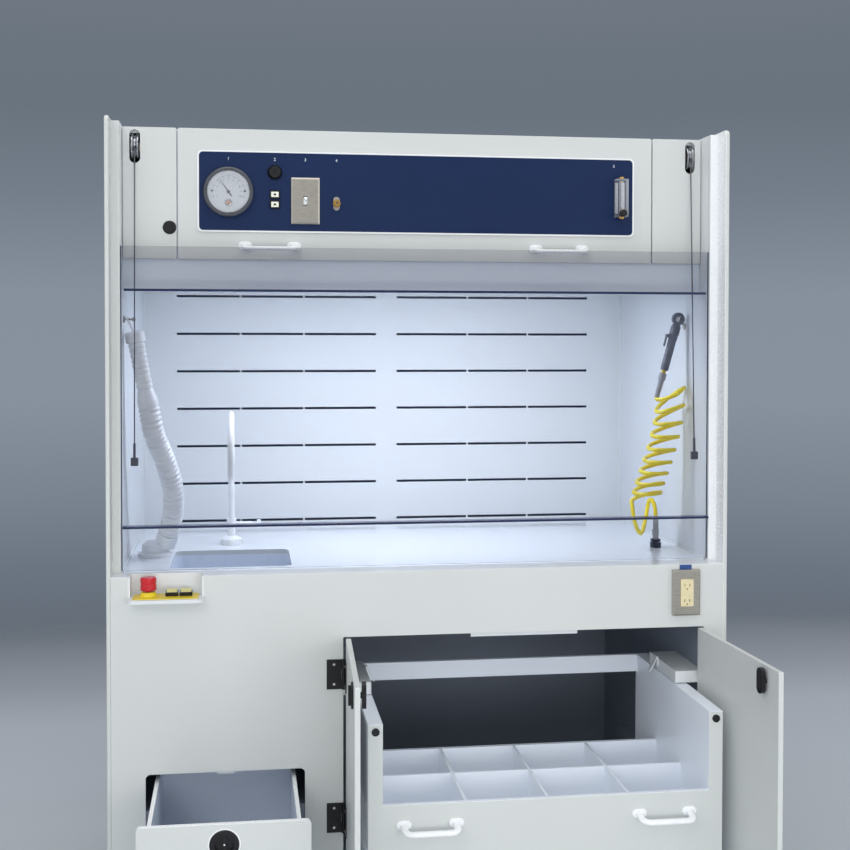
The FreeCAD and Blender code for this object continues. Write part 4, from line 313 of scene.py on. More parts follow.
class Finish(Enum):
    """Every finish on the bench."""

    BODY_SHEET = Plastic("body_sheet", (212, 215, 212), 0.36, 0.008, 3.0, 0.06, 1400.0)
    WHITE_SHEET = Plastic("white_sheet", (226, 229, 230), 0.42, 0.004, 3.0, 0.05, 1400.0)
    # Bright white of the handles and the toggle lever. On the right side panel, the right walls' front and the small
    # drawer's tops the same white is painted light.
    HANDLE_AND_LIT_FACE = Plastic("bright_handle_and_painted_light", (246, 248, 249), 0.26, 0.01, 20.0, 0.06, 1200.0)
    # Painted light: the header frame's lip gets a brighter, bluish white than the sheet, so it looks lit where the
    # covers shade it.
    LIT_FRAME_SHEET = Plastic("frame_sheet_painted_light", (238, 246, 255), 0.36, 0.004, 3.0, 0.05, 1400.0)
    SINK_SHEET = Plastic("sink_sheet", (236, 244, 255), 0.3, 0.01, 4.0, 0.05, 1200.0)
    DECK_SHEET = Plastic("deck_sheet", (244, 247, 250), 0.12, 0.006, 3.0, 0.02, 600.0, 0.7)
    # A real cut edge of the sheet, made brighter than the sheet as a painted highlight where the edge catches the
    # light.
    CUT_EDGE_HIGHLIGHT = Plastic("cut_edge_and_highlight", (242, 244, 244), 0.5, 0.015, 30.0, 0.25, 500.0)
    # The bottle drawer's inside: bluish white sheet with a faint emission, painted light that brightens it.
    TRAY_SHEET = Plastic("tray_sheet", (234, 240, 248), 0.38, 0.008, 4.0, 0.08, 1200.0, painted_glow=0.05)
    DRAWER_SHEET = Plastic("drawer_sheet", (206, 215, 228), 0.38, 0.008, 4.0, 0.08, 1200.0)
    # Painted shade: the cabinet's inner sheets are the same white sheet, given this grey to stand for the shade inside
    # the cabinet.
    SHADED_LOW_WALLS = Plastic("low_walls_painted_shade", (132, 140, 152), 0.5, 0.02, 2.0, 0.12, 800.0)
    SLOT = Plastic("slot_shade", (20, 22, 27), 0.6, 0.1, 20.0, 0.1, 800.0, 0.2)
    WELD = Plastic("weld", (228, 231, 230), 0.28, 0.03, 60.0, 0.15, 400.0)
    NAVY = Plastic("navy_panel", (15, 38, 78), 0.45, 0.03, 4.0, 0.12, 2500.0, 0.25)
    BLACK = Plastic("black_plastic", (16, 16, 18), 0.34, 0.12, 40.0, 0.18, 1800.0)
    RUBBER = Plastic("black_rubber", (26, 26, 28), 0.62, 0.1, 40.0, 0.3, 1500.0, 0.3)
    DARK_GREY = Plastic("dark_grey_plastic", (100, 101, 106), 0.36, 0.08, 40.0, 0.22, 1600.0)
    GREY_FITTING = Plastic("grey_fitting", (150, 150, 152), 0.38, 0.06, 40.0, 0.2, 1200.0)
    BEZEL = Plastic("dial_bezel", (74, 77, 82), 0.3, 0.06, 40.0, 0.12, 2000.0)
    DIAL = Plastic("dial_face", (222, 224, 226), 0.5, 0.015, 30.0, 0.05, 3000.0)
    PRINT = Plastic("dark_print", (26, 28, 34), 0.5, 0.05, 60.0, 0.05, 3000.0)
    WHITE_PRINT = Plastic("white_print", (240, 244, 250), 0.45, 0.02, 60.0, 0.05, 3000.0)
    RED = Plastic("red_cap", (200, 22, 34), 0.3, 0.05, 30.0, 0.1, 1500.0, 0.5, 0.05, 0.2)
    YELLOW = Plastic("yellow_plate", (232, 206, 40), 0.36, 0.04, 30.0, 0.1, 1500.0)
    IVORY = Plastic("ivory_plastic", (226, 214, 172), 0.3, 0.02, 30.0, 0.08, 1500.0)
    CREAM = Plastic("cream_rocker", (232, 226, 150), 0.32, 0.04, 30.0, 0.1, 1500.0)
    LENS = Plastic("signal_lens", (244, 244, 226), 0.22, 0.03, 60.0, 0.05, 1500.0, 0.6, 0.3)
    MILKY = Plastic("milky_plastic", (247, 250, 254), 0.3, 0.02, 20.0, 0.1, 700.0, 0.5, 0.35)
    HOSE_YELLOW = Plastic("hose_yellow", (246, 222, 18), 0.24, 0.05, 30.0, 0.08, 1200.0, 0.6, 0.06)
    YELLOW_TIP = Plastic("yellow_tip", (224, 190, 30), 0.34, 0.05, 30.0, 0.08, 1200.0)
    BLUE_STRIP = Plastic("blue_strip", (44, 76, 140), 0.4, 0.04, 30.0, 0.05, 2000.0)
    SHEET_EDGE = Plastic("sash_edge", (8, 26, 68), 0.16, 0.08, 30.0, 0.05, 800.0, 0.7)
    SASH = ClearSheet("sash_sheet", (22, 40, 88), 0.12)
    CLEAR = ClearSheet("clear_moulding", (226, 230, 236), 0.1, 0.05)
    LEDGE = ClearSheet("sash_ledge", (30, 60, 150), 0.25, 0.05)
    STEEL = Metal("brushed_steel", (196, 191, 180), 0.32, 0.1, (1.0, 1.0, 40.0))
    CABLE = Metal("steel_cable", (120, 120, 124), 0.4, 0.25, (1.0, 1.0, 1.0), 900.0, 0.3)
    WHEEL = Metal("turned_wheel", (178, 180, 184), 0.26, 0.1, (30.0, 1.0, 1.0), 40.0)
    BRASS = Metal("cast_brass", (204, 166, 98), 0.26, 0.08, (1.0, 1.0, 1.0), 120.0)
    SILVER = Metal("bright_metal", (208, 208, 208), 0.22, 0.06, (1.0, 1.0, 1.0), 120.0)
    COPPER = Metal("copper_screw", (214, 158, 118), 0.3, 0.08, (1.0, 1.0, 1.0), 200.0)
    HOOD_LAMP = Glow("lit_diffuser", (242, 246, 255), 1.2)

    @property
    def material(self) -> bpy.types.Material:
        """The finish's material, made once and never one that came with the solids."""
        if self.value.name not in finish_materials:
            finish_materials[self.value.name] = self.value.make()
        return finish_materials[self.value.name]


def paint(node: str, *finishes: Finish, choose: Callable[[Vector, Vector], int] | None = None) -> None:
    """Gives a solid its finish, or several picked by the place and facing of each face.

    Args:
        node: The solid's name.
        finishes: Its finishes.
        choose: Gives the number of the finish from a face's centre in millimetres and its normal.
    """
    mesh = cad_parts[node].data
    mesh.materials.clear()
    for finish in finishes:
        mesh.materials.append(finish.material)
    for face in mesh.polygons:
        face.material_index = choose(face.center / MM, face.normal) if choose else 0
    LOG.info("%s wears %s", node, ", ".join(f.value.name for f in finishes))


PLAIN: dict[Finish, tuple[str, ...]] = {
    Finish.BODY_SHEET: ("side_covers", "centre_cover", "hood_roof", "apron"),
    Finish.WHITE_SHEET: ("stop_station", "strikes"),
    # The header frame wears the painted light white.
    Finish.LIT_FRAME_SHEET: ("header_frame",),
    Finish.HANDLE_AND_LIT_FACE: ("cover_handles", "toggle_lever", "bottle_drawer_handles"),
    Finish.NAVY: ("control_panel",),
    Finish.STEEL: ("spring_reels", "steel_plates", "tool_hooks"),
    Finish.WHEEL: ("sash_drums",),
    Finish.CABLE: ("sash_cables",),
    Finish.BRASS: ("brass_fittings",),
    Finish.CLEAR: ("clear_fittings",),
    Finish.BLACK: ("black_fittings", "flow_knob", "latch_left", "latch_right", "drawer_caps", "ring_latch"),
    Finish.DARK_GREY: ("sash_clevises", "air_gun_lever"),
    Finish.RUBBER: ("levelling_feet",),
    Finish.LENS: ("button_upper", "button_lower"),
    Finish.PRINT: ("gauge_needle",),
    Finish.IVORY: ("outlet",),
    Finish.SINK_SHEET: ("sink",),
    Finish.MILKY: ("faucet_body", "faucet_spout", "faucet_knob", "hand_piece", "hose_elbow"),
    Finish.YELLOW: ("stop_mark_plate",),
    Finish.RED: ("stop_button",),
    Finish.CREAM: ("rocker_left", "rocker_right"),
    # The cabinet's inner sheets and slide channels wear the painted shade grey.
    Finish.SHADED_LOW_WALLS: ("cabinet_sheets", "slide_channels"),
}


# Meshes
def placed(name: str, data: bpy.types.ID) -> bpy.types.Object:
    """A new object of the scene that carries some data."""
    made = bpy.data.objects.new(name, data)
    bpy.context.scene.collection.objects.link(made)
    return made


def evaluated(holder: bpy.types.Object) -> bpy.types.Mesh:
    """The mesh that an object gives with its modifiers. The object itself is removed."""
    bpy.context.view_layer.update()
    data = bpy.data.meshes.new_from_object(holder.evaluated_get(bpy.context.evaluated_depsgraph_get()))
    bpy.data.objects.remove(holder)
    return data


def smooth(name: str, data: bpy.types.Mesh, angle: float) -> bpy.types.Object:
    """A new object with smooth rounds, whose corners stay sharp from an angle in degrees on."""
    data.shade_smooth()
    data.set_sharp_from_angle(angle=math.radians(angle))
    return placed(name, data)


def settle(piece: bpy.types.Object, body: Body, replaces: Sequence[str] = ()) -> bpy.types.Object:
    """Hangs a finished piece on its body.

    Args:
        piece: The finished piece.
        body: The body that it rides on.
        replaces: The solids that it stands for.

    Returns:
        The same piece.
    """
    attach(piece, body.value)
    if replaces:
        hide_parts(*replaces)
    LOG.info("%s rides on %s", piece.name, body.value)
    return piece


class Workpiece:
    """A mesh in the making, in millimetres of the bench's frame."""

    def __init__(self) -> None:
        """Starts an empty mesh."""
        self.mesh = bmesh.new()

    def _band(self, low: Sequence[bmesh.types.BMVert], high: Sequence[bmesh.types.BMVert]) -> None:
        """Faces between two rings of points, either of which may be a single point."""
        sides = max(len(low), len(high))
        for i in range(sides):
            j = (i + 1) % sides
            ring = [low[i % len(low)], low[j % len(low)], high[j % len(high)], high[i % len(high)]]
            corners = list(dict.fromkeys(ring))
            if len(corners) > 2:
                self.mesh.faces.new(corners)

    def bar(self, low: Point, high: Point) -> "Workpiece":
        """A box between two corners."""
        a, b = Vector(low), Vector(high)
        place = Matrix.Translation((a + b) / 2) @ Matrix.Diagonal((*(b - a), 1.0))
        bmesh.ops.create_cube(self.mesh, size=1.0, matrix=place)
        return self

    def lathe(self, profile: Outline, base: Point, axis: Point, sides: int = 48) -> "Workpiece":
        """A closed turned shape.

        Args:
            profile: Radius and height points from the axis out and back to it.
            base: Where height zero is.
            axis: Where the height points to.
            sides: How many sides the turning has.

        Returns:
            The same workpiece.
        """
        turn = Vector(UP).rotation_difference(Vector(axis)).to_matrix().to_4x4()
        place = Matrix.Translation(Vector(base)) @ turn
        angles = [2 * math.pi * i / sides for i in range(sides)]
        rings = [[self.mesh.verts.new(place @ Vector((radius * math.cos(a), radius * math.sin(a), height)))
                  for a in (angles if radius else angles[:1])] for radius, height in profile]
        for low, high in zip(rings, rings[1:]):
            self._band(low, high)
        if len(rings[0]) > 1:
            self._band(rings[-1], rings[0])
        return self

    def border(self, outer: Outline, inner: Outline, y1: float, y2: float) -> "Workpiece":
        """A flat frame drawn in width and height and given its depth.

        Args:
            outer: The outer corners.
            inner: The hole's corners, as many as the outer ones.
            y1: The front face.
            y2: The rear face.

        Returns:
            The same workpiece.
        """
        rings = [[self.mesh.verts.new((x, y, z)) for x, z in line] for y in (y1, y2) for line in (outer, inner)]
        for low, high in ((0, 2), (1, 3), (0, 1), (2, 3)):
            self._band(rings[low], rings[high])
        return self

    def sweep(self, line: Sequence[Vector], radii: Sequence[float], sides: int = 24) -> "Workpiece":
        """A round tube with open ends along a line, with its own radius at each point.

        Args:
            line: The points, in millimetres.
            radii: The radius at each point.
            sides: How many sides the tube has.

        Returns:
            The same workpiece.
        """
        heading = (line[1] - line[0]).normalized()
        across = heading.orthogonal().normalized()
        rings: list[list[bmesh.types.BMVert]] = []
        for i, point in enumerate(line):
            ahead = (line[min(i + 1, len(line) - 1)] - line[max(i - 1, 0)]).normalized()
            across = (heading.rotation_difference(ahead) @ across).normalized()
            heading = ahead
            other = heading.cross(across)
            rings.append([self.mesh.verts.new(point + (across * math.cos(a) + other * math.sin(a)) * radii[i])
                          for a in (2 * math.pi * k / sides for k in range(sides))])
        for low, high in zip(rings, rings[1:]):
            self._band(low, high)
        return self

    def done(self, name: str, finish: Finish, angle: float = 40.0) -> bpy.types.Object:
        """The finished object, outward facing, with smooth rounds and sharp corners.

        Args:
            name: The piece's name.
            finish: Its finish.
            angle: The least angle that stays sharp, in degrees.

        Returns:
            The object, in metres.
        """
        bmesh.ops.remove_doubles(self.mesh, verts=self.mesh.verts, dist=1e-4)
        bmesh.ops.recalc_face_normals(self.mesh, faces=self.mesh.faces)
        bmesh.ops.scale(self.mesh, vec=(MM, MM, MM), verts=self.mesh.verts)
        data = bpy.data.meshes.new(name)
        self.mesh.to_mesh(data)
        self.mesh.free()
        data.materials.append(finish.material)
        return smooth(name, data, angle)


def round_corners(x1: float, x2: float, z1: float, z2: float, radius: float,
                  steps: int = 8) -> list[tuple[float, float]]:
    """The outline of a rectangle with rounded corners.

    Args:
        x1: The left side.
        x2: The right side.
        z1: The lower side.
        z2: The upper side.
        radius: The corners' radius.
        steps: How many steps each corner has.

    Returns:
        Its points, in order.
    """
    points = []
    for cx, cz, first in ((x2 - radius, z2 - radius, 0), (x1 + radius, z2 - radius, 90),
                          (x1 + radius, z1 + radius, 180), (x2 - radius, z1 + radius, 270)):
        for k in range(steps + 1):
            a = math.radians(first + 90 * k / steps)
            points.append((cx + radius * math.cos(a), cz + radius * math.sin(a)))
    return points


# Geometry Nodes
class RepeatTree(Tree):
    """A Geometry Nodes tree with named sizes, ended by Realize Instances and Set Material."""

    def __init__(self, name: str) -> None:
        """Starts a tree.

        Args:
            name: What the tree makes.
        """
        self.group = bpy.data.node_groups.new(name, "GeometryNodeTree")
        super().__init__(self.group)
        self.group.interface.new_socket(name="Geometry", in_out="OUTPUT", socket_type="NodeSocketGeometry")
        self.keys: dict[str, str] = {}
        self.entry = self.nodes.new("NodeGroupInput")
        self.given = self.size("Geometry", "Geometry")

    def size(self, name: str, kind: str = "Float") -> Socket:
        """A named input of the tree, as the socket that carries its value."""
        made = self.group.interface.new_socket(name=name, in_out="INPUT", socket_type=f"NodeSocket{kind}")
        self.keys[name] = made.identifier
        return next(s for s in self.entry.outputs if s.identifier == made.identifier)

    def maths(self, operation: str, a: object, b: object = 0.0) -> Socket:
        """One sum of two values."""
        return self.add("ShaderNodeMath", {"0": a, "1": b}, operation=operation).outputs[0]

    def vector(self, x: object = 0.0, y: object = 0.0, z: object = 0.0) -> Socket:
        """A vector of three values."""
        return self.add("ShaderNodeCombineXYZ", {"X": x, "Y": y, "Z": z}).outputs[0]

    def close(self, geometry: Socket, finish: Finish) -> None:
        """Realizes the instances, gives the finish and ends the tree."""
        real = self.add("GeometryNodeRealizeInstances", {"Geometry": geometry}).outputs[0]
        worn = self.add("GeometryNodeSetMaterial", {"Geometry": real, "Material": finish.material}).outputs[0]
        self.add("NodeGroupOutput", {"0": worn})

    def bars(self, place: Socket, finish: Finish, turn: object = (0.0, 0.0, 0.0)) -> "RepeatTree":
        """Sets a number of bars at their places and ends the tree, with count and bar size as inputs.

        Args:
            place: The place of each bar.
            finish: The bars' finish.
            turn: The turn of each bar.

        Returns:
            The same tree.
        """
        dots = self.add("GeometryNodePoints", {"Count": self.size("Count", "Int"), "Position": place})
        bar = self.add("GeometryNodeMeshCube", {"Size": self.size("Bar size", "Vector")})
        bars = self.add("GeometryNodeInstanceOnPoints", {"Points": dots.outputs[0], "Instance": bar.outputs[0],
                                                         "Rotation": turn})
        self.close(bars.outputs[0], finish)
        return self

    def run(self, name: str, source: bpy.types.ID, sizes: dict[str, object], angle: float = 40.0) -> bpy.types.Object:
        """Runs the tree on a mesh or a curve, and keeps the result as a plain mesh.

        Args:
            name: The new piece's name.
            source: The mesh or curve that the tree starts from.
            sizes: The tree's inputs by name.
            angle: The least angle that stays sharp, in degrees.

        Returns:
            The new piece, without a modifier.
        """
        carrier = placed(f"{name}_carrier", source)
        modifier = carrier.modifiers.new(self.group.name, "NODES")
        modifier.node_group = self.group
        for key, value in sizes.items():
            modifier[self.keys[key]] = value
        data = evaluated(carrier)
        data.name = name
        return smooth(name, data, angle)


def points_mesh(name: str, points: Iterable[Point]) -> bpy.types.Mesh:
    """A mesh of bare points, given in millimetres."""
    data = bpy.data.meshes.new(name)
    data.from_pydata([metres(p) for p in points], [], [])
    return data


def route_curve(name: str, points: Iterable[Vector], thickness: float = 0.0,
                kind: str = "NURBS") -> bpy.types.Curve:
    """A smooth line led by its control points, or a straight one from point to point.

    Args:
        name: The curve's name.
        points: The control points in metres.
        thickness: The radius of its round section, in metres.
        kind: NURBS for a smooth line, POLY for a straight one.

    Returns:
        The curve, with one open spline.
    """
    curve = bpy.data.curves.new(name, "CURVE")
    curve.dimensions = "3D"
    points = list(points)
    spline = curve.splines.new(kind)
    spline.points.add(len(points) - 1)
    for point, place in zip(spline.points, points):
        point.co = (*place, 1.0)
    spline.order_u = 3
    spline.use_endpoint_u = True
    spline.resolution_u = 12
    curve.bevel_depth = thickness
    curve.bevel_resolution = 5
    curve.use_fill_caps = thickness > 0
    return curve


def line_of(curve: bpy.types.Curve) -> list[Vector]:
    """The points that a curve with no bevel gives, in metres."""
    data = evaluated(placed("line_holder", curve))
    points = [v.co.copy() for v in data.vertices]
    bpy.data.meshes.remove(data)
    return points


def length_of(points: Sequence[Vector]) -> float:
    """The length of a line through points."""
    return sum((b - a).length for a, b in zip(points, points[1:]))


def at_length(points: Sequence[Vector], count: int) -> list[Vector]:
    """Points evenly spaced along a line, both ends included."""
    total, found, before, i = length_of(points), [], 0.0, 0
    for k in range(count + 1):
        target = total * k / count
        while i < len(points) - 2 and target > before + (points[i + 1] - points[i]).length:
            before += (points[i + 1] - points[i]).length
            i += 1
        step = points[i + 1] - points[i]
        share = min(1.0, max(0.0, (target - before) / max(step.length, 1e-9)))
        found.append(points[i] + step * share)
    return found


def screw_tree(finish: Finish, name: str) -> RepeatTree:
    """A tree that sets a domed screw head on every given point, facing out of the front.

    Args:
        finish: The heads' finish.
        name: The tree's name.

    Returns:
        The tree, with its radius and height as inputs.
    """
    tree = RepeatTree(name)
    radius, height = tree.size("Head radius"), tree.size("Head height")
    head = tree.add("GeometryNodeMeshCylinder", {"Vertices": 20, "Radius": radius, "Depth": height})
    dome = tree.add("GeometryNodeMeshUVSphere", {"Segments": 20, "Rings": 8, "Radius": radius})
    flat = tree.add("GeometryNodeTransform", {"Geometry": dome.outputs["Mesh"], "Translation": tree.vector(z=height),
                                               "Scale": (0.98, 0.98, 0.35)})
    both = tree.add("GeometryNodeJoinGeometry", {"Geometry": head.outputs["Mesh"]})
    tree.links.new(flat.outputs[0], both.inputs[0])
    turned = tree.add("GeometryNodeTransform", {"Geometry": both.outputs[0], "Rotation": (math.pi / 2, 0.0, 0.0)})
    dots = tree.add("GeometryNodeMeshToPoints", {"Mesh": tree.given})
    heads = tree.add("GeometryNodeInstanceOnPoints", {"Points": dots.outputs[0], "Instance": turned.outputs[0]})
    tree.close(heads.outputs[0], finish)
    return tree


def fan_tree(finish: Finish, name: str) -> RepeatTree:
    """A tree that fans flat bars round a centre in the plane of the front, like the ticks of a dial.

    Args:
        finish: The bars' finish.
        name: The tree's name.

    Returns:
        The tree, with count, radius, first angle, step and bar size as inputs.
    """
    tree = RepeatTree(name)
    radius, centre = tree.size("Radius"), tree.size("Centre", "Vector")
    first, step = tree.size("First angle"), tree.size("Step")
    index = tree.add("GeometryNodeInputIndex").outputs[0]
    angle = tree.maths("ADD", first, tree.maths("MULTIPLY", index, step))
    x = tree.maths("MULTIPLY", radius, tree.maths("COSINE", angle))
    z = tree.maths("MULTIPLY", radius, tree.maths("SINE", angle))
    place = tree.add("ShaderNodeVectorMath", {"0": tree.vector(x, 0.0, z), "1": centre}, operation="ADD")
    return tree.bars(place.outputs[0], finish, tree.vector(0.0, tree.maths("MULTIPLY", angle, -1.0), 0.0))


def row_tree(finish: Finish, name: str) -> RepeatTree:
    """A tree that repeats a bar in a straight row.

    Args:
        finish: The bars' finish.
        name: The tree's name.

    Returns:
        The tree, with count, start, step and bar size as inputs.
    """
    tree = RepeatTree(name)
    start, step = tree.size("Start", "Vector"), tree.size("Step", "Vector")
    index = tree.add("GeometryNodeInputIndex").outputs[0]
    moved = tree.add("ShaderNodeVectorMath", {"0": step, "Scale": index}, operation="SCALE")
    place = tree.add("ShaderNodeVectorMath", {"0": moved.outputs[0], "1": start}, operation="ADD")
    return tree.bars(place.outputs[0], finish)


def bead_tree(finish: Finish, name: str) -> RepeatTree:
    """A tree that lays overlapping drops along a curve, as a hand weld does.

    Args:
        finish: The bead's finish.
        name: The tree's name.

    Returns:
        The tree, with the drops' pitch and radius as inputs.
    """
    tree = RepeatTree(name)
    pitch, radius = tree.size("Pitch"), tree.size("Radius")
    spots = tree.add("GeometryNodeCurveToPoints", {"Curve": tree.given, "Length": pitch}, mode="LENGTH")
    drop = tree.add("GeometryNodeMeshIcoSphere", {"Radius": radius, "Subdivisions": 2})
    drops = tree.add("GeometryNodeInstanceOnPoints", {"Points": spots.outputs["Points"], "Instance": drop.outputs[0],
                                                       "Rotation": spots.outputs["Rotation"], "Scale": (1.0, 1.0, 1.6)})
    tree.close(drops.outputs[0], finish)
    return tree


def numeral(name: str, text: str, size: float, place: Point) -> bpy.types.Mesh:
    """A flat number that faces the front.

    Args:
        name: The mesh's name.
        text: The digits.
        size: Their height in millimetres.
        place: Their centre in millimetres.

    Returns:
        The mesh, in metres at its place.
    """
    curve = bpy.data.curves.new(name, "FONT")
    curve.body = text
    curve.size = size * MM
    curve.align_x, curve.align_y = "CENTER", "CENTER"
    curve.extrude = 0.00008
    curve.resolution_u = 3
    data = evaluated(placed(name, curve))
    data.transform(Matrix.Translation(metres(place)) @ Matrix.Rotation(math.pi / 2, 4, "X"))
    return data


def joined(name: str, parts: Iterable[bpy.types.Mesh], finish: Finish) -> bpy.types.Object:
    """Several meshes as one object.

    Args:
        name: The piece's name.
        parts: The meshes, in metres.
        finish: Their finish.

    Returns:
        The object.
    """
    whole = bmesh.new()
    for part in parts:
        whole.from_mesh(part)
    data = bpy.data.meshes.new(name)
    bmesh.ops.remove_doubles(whole, verts=whole.verts, dist=1e-7)
    whole.to_mesh(data)
    whole.free()
    data.materials.append(finish.material)
    return placed(name, data)


# The studio
@dataclass
class Studio:
    """Camera, floor and lights."""

    eye: Point = (-448.5, -3360.1, 1473.37)
    yaw: float = 0.1406754
    pitch: float = -0.0255115
    roll: float = 0.0012251
    focal_pixels: float = 1305.2458
    shift_pixels: float = -51.407
    image_pixels: float = 850.0
    sensor: float = 36.0
    floor_tones: tuple[tuple[float, Colour], ...] = (
        (0.4, (190, 196, 202)), (1.1, (190, 197, 205)), (1.75, (184, 191, 199)), (2.3, (158, 165, 175)),
        (2.9, (134, 142, 152)), (3.3, (116, 125, 136)))
    floor_reach: float = 5.2
    floor_drop: float = 0.0005
    rim_from: float = 3.6
    fade_from: float = 2.9
    fade_to: float = 4.0
    sky_tones: tuple[tuple[float, Colour], ...] = (
        (-0.21, (99, 108, 119)), (-0.164, (108, 118, 130)), (-0.119, (121, 131, 143)), (-0.044, (136, 146, 158)),
        (0.033, (135, 145, 157)), (0.109, (116, 126, 138)), (0.169, (106, 116, 127)), (0.212, (107, 117, 128)),
        (0.251, (112, 120, 131)))
    sky_light: Colour = (244, 247, 252)
    sky_strength: float = 0.6

    def camera(self) -> None:
        """Sets the camera at the photographed angle."""
        ahead = Vector((math.sin(self.yaw) * math.cos(self.pitch), math.cos(self.yaw) * math.cos(self.pitch),
                        math.sin(self.pitch)))
        right = Vector((math.cos(self.yaw), -math.sin(self.yaw), 0.0))
        up = right.cross(ahead)
        right_rolled = right * math.cos(self.roll) + up * math.sin(self.roll)
        up_rolled = up * math.cos(self.roll) - right * math.sin(self.roll)
        data = bpy.data.cameras.new("camera")
        data.sensor_width = self.sensor
        data.lens = self.focal_pixels / self.image_pixels * self.sensor
        data.shift_y = self.shift_pixels / self.image_pixels
        data.clip_end = 100.0
        camera = placed("camera", data)
        turn = Matrix((right_rolled, up_rolled, -ahead)).transposed()
        camera.matrix_world = Matrix.Translation(metres(self.eye)) @ turn.to_4x4()
        bpy.context.scene.camera = camera

    def floor(self) -> None:
        """Lays the plain pale floor, which darkens and fades into the background far off."""
        tree = ShaderTree("floor")
        far = tree.add("ShaderNodeSeparateXYZ", {"Vector": tree.place}).outputs["Y"]
        ramp = tree.add("ShaderNodeValToRGB", {"Fac": tree.mapped(far, 0.0, self.fade_to)})
        lay_tones(ramp.color_ramp, [(metre / self.fade_to, colour) for metre, colour in self.floor_tones])
        tree.feed("Base Color", ramp.outputs[0])
        fade = tree.mapped(far, self.fade_from, self.fade_to, 1.0, 0.0, interpolation_type="SMOOTHSTEP")
        radius = tree.add("ShaderNodeVectorMath", {"0": tree.place}, operation="LENGTH").outputs["Value"]
        rim = tree.mapped(radius, self.rim_from, self.floor_reach, 1.0, 0.0, interpolation_type="SMOOTHSTEP")
        tree.feed("Alpha", tree.add("ShaderNodeMath", {"0": fade, "1": rim}, operation="MULTIPLY").outputs[0])
        tree.set(Roughness=0.6)
        whole = bmesh.new()
        bmesh.ops.create_circle(whole, cap_ends=True, radius=self.floor_reach, segments=96)
        data = bpy.data.meshes.new("floor")
        whole.to_mesh(data)
        whole.free()
        data.materials.append(tree.material)
        floor = placed("floor", data)
        floor.location.z = -self.floor_drop

    def lamp(self, name: str, place: Point, aim: Point, size: tuple[float, float], power: float,
             colour: Colour = (255, 255, 255), mirrored: bool = True) -> None:
        """One soft area lamp.

        Args:
            name: The lamp's name.
            place: Where it stands, in millimetres.
            aim: What it points at, in millimetres.
            size: Its width and height in metres.
            power: Its power in watts.
            colour: Its colour.
            mirrored: Whether glossy surfaces show it.
        """
        data = bpy.data.lights.new(name, "AREA")
        data.shape = "RECTANGLE"
        data.size, data.size_y = size
        data.energy = power
        data.color = linear(colour)[:3]
        lamp = placed(name, data)
        turn = (metres(aim) - metres(place)).to_track_quat("-Z", "Y")
        lamp.matrix_world = Matrix.Translation(metres(place)) @ turn.to_matrix().to_4x4()
        lamp.visible_camera = False
        lamp.visible_glossy = mirrored

    def sky(self) -> None:
        """An even, soft world light behind a grey background that is brightest at the middle height."""
        world = bpy.data.worlds.new("world")
        world.use_nodes = True
        bpy.context.scene.world = world
        tree = Tree(world.node_tree)
        heading = tree.add("ShaderNodeTexCoord").outputs["Generated"]
        rise = tree.add("ShaderNodeSeparateXYZ", {"0": heading}).outputs["Z"]
        ramp = tree.add("ShaderNodeValToRGB", {"Fac": tree.mapped(rise, -0.5, 0.5)})
        lay_tones(ramp.color_ramp, [(rise_at + 0.5, colour) for rise_at, colour in self.sky_tones])
        seen = tree.add("ShaderNodeBackground", {"Color": ramp.outputs[0]})
        light = tree.nodes["Background"]
        light.inputs["Color"].default_value = linear(self.sky_light)
        light.inputs["Strength"].default_value = self.sky_strength
        path = tree.add("ShaderNodeLightPath").outputs
        direct = tree.add("ShaderNodeMath", {"0": path["Is Camera Ray"], "1": path["Is Transmission Ray"]},
                          operation="MAXIMUM")
        mix = tree.add("ShaderNodeMixShader", {"0": direct.outputs[0], "1": light.outputs[0], "2": seen.outputs[0]})
        tree.links.new(mix.outputs[0], tree.nodes["World Output"].inputs[0])

    def build(self) -> None:
        """Sets the whole studio."""
        self.camera()
        self.floor()
        self.sky()
        self.lamp("key", (-2600, -4300, 3600), (0, 0, 1100), (3.0, 2.2), 44.0)
        self.lamp("fill", (3400, -3600, 2200), (100, 0, 1000), (2.4, 2.4), 20.0)
        self.lamp("top", (0, -600, 4600), (0, 100, 1000), (4.0, 2.4), 44.0)
        self.lamp("front", (150, -3600, 760), (200, -300, 640), (2.6, 1.0), 36.0, (250, 252, 255), False)
        self.lamp("hood", (0, HEADER_Y + 165, CEILING_Z - 4), (0, HEADER_Y + 230, 900), (0.9, 0.12), 8.1,
                  (230, 238, 255))
        bpy.context.scene.view_settings.view_transform = "Standard"


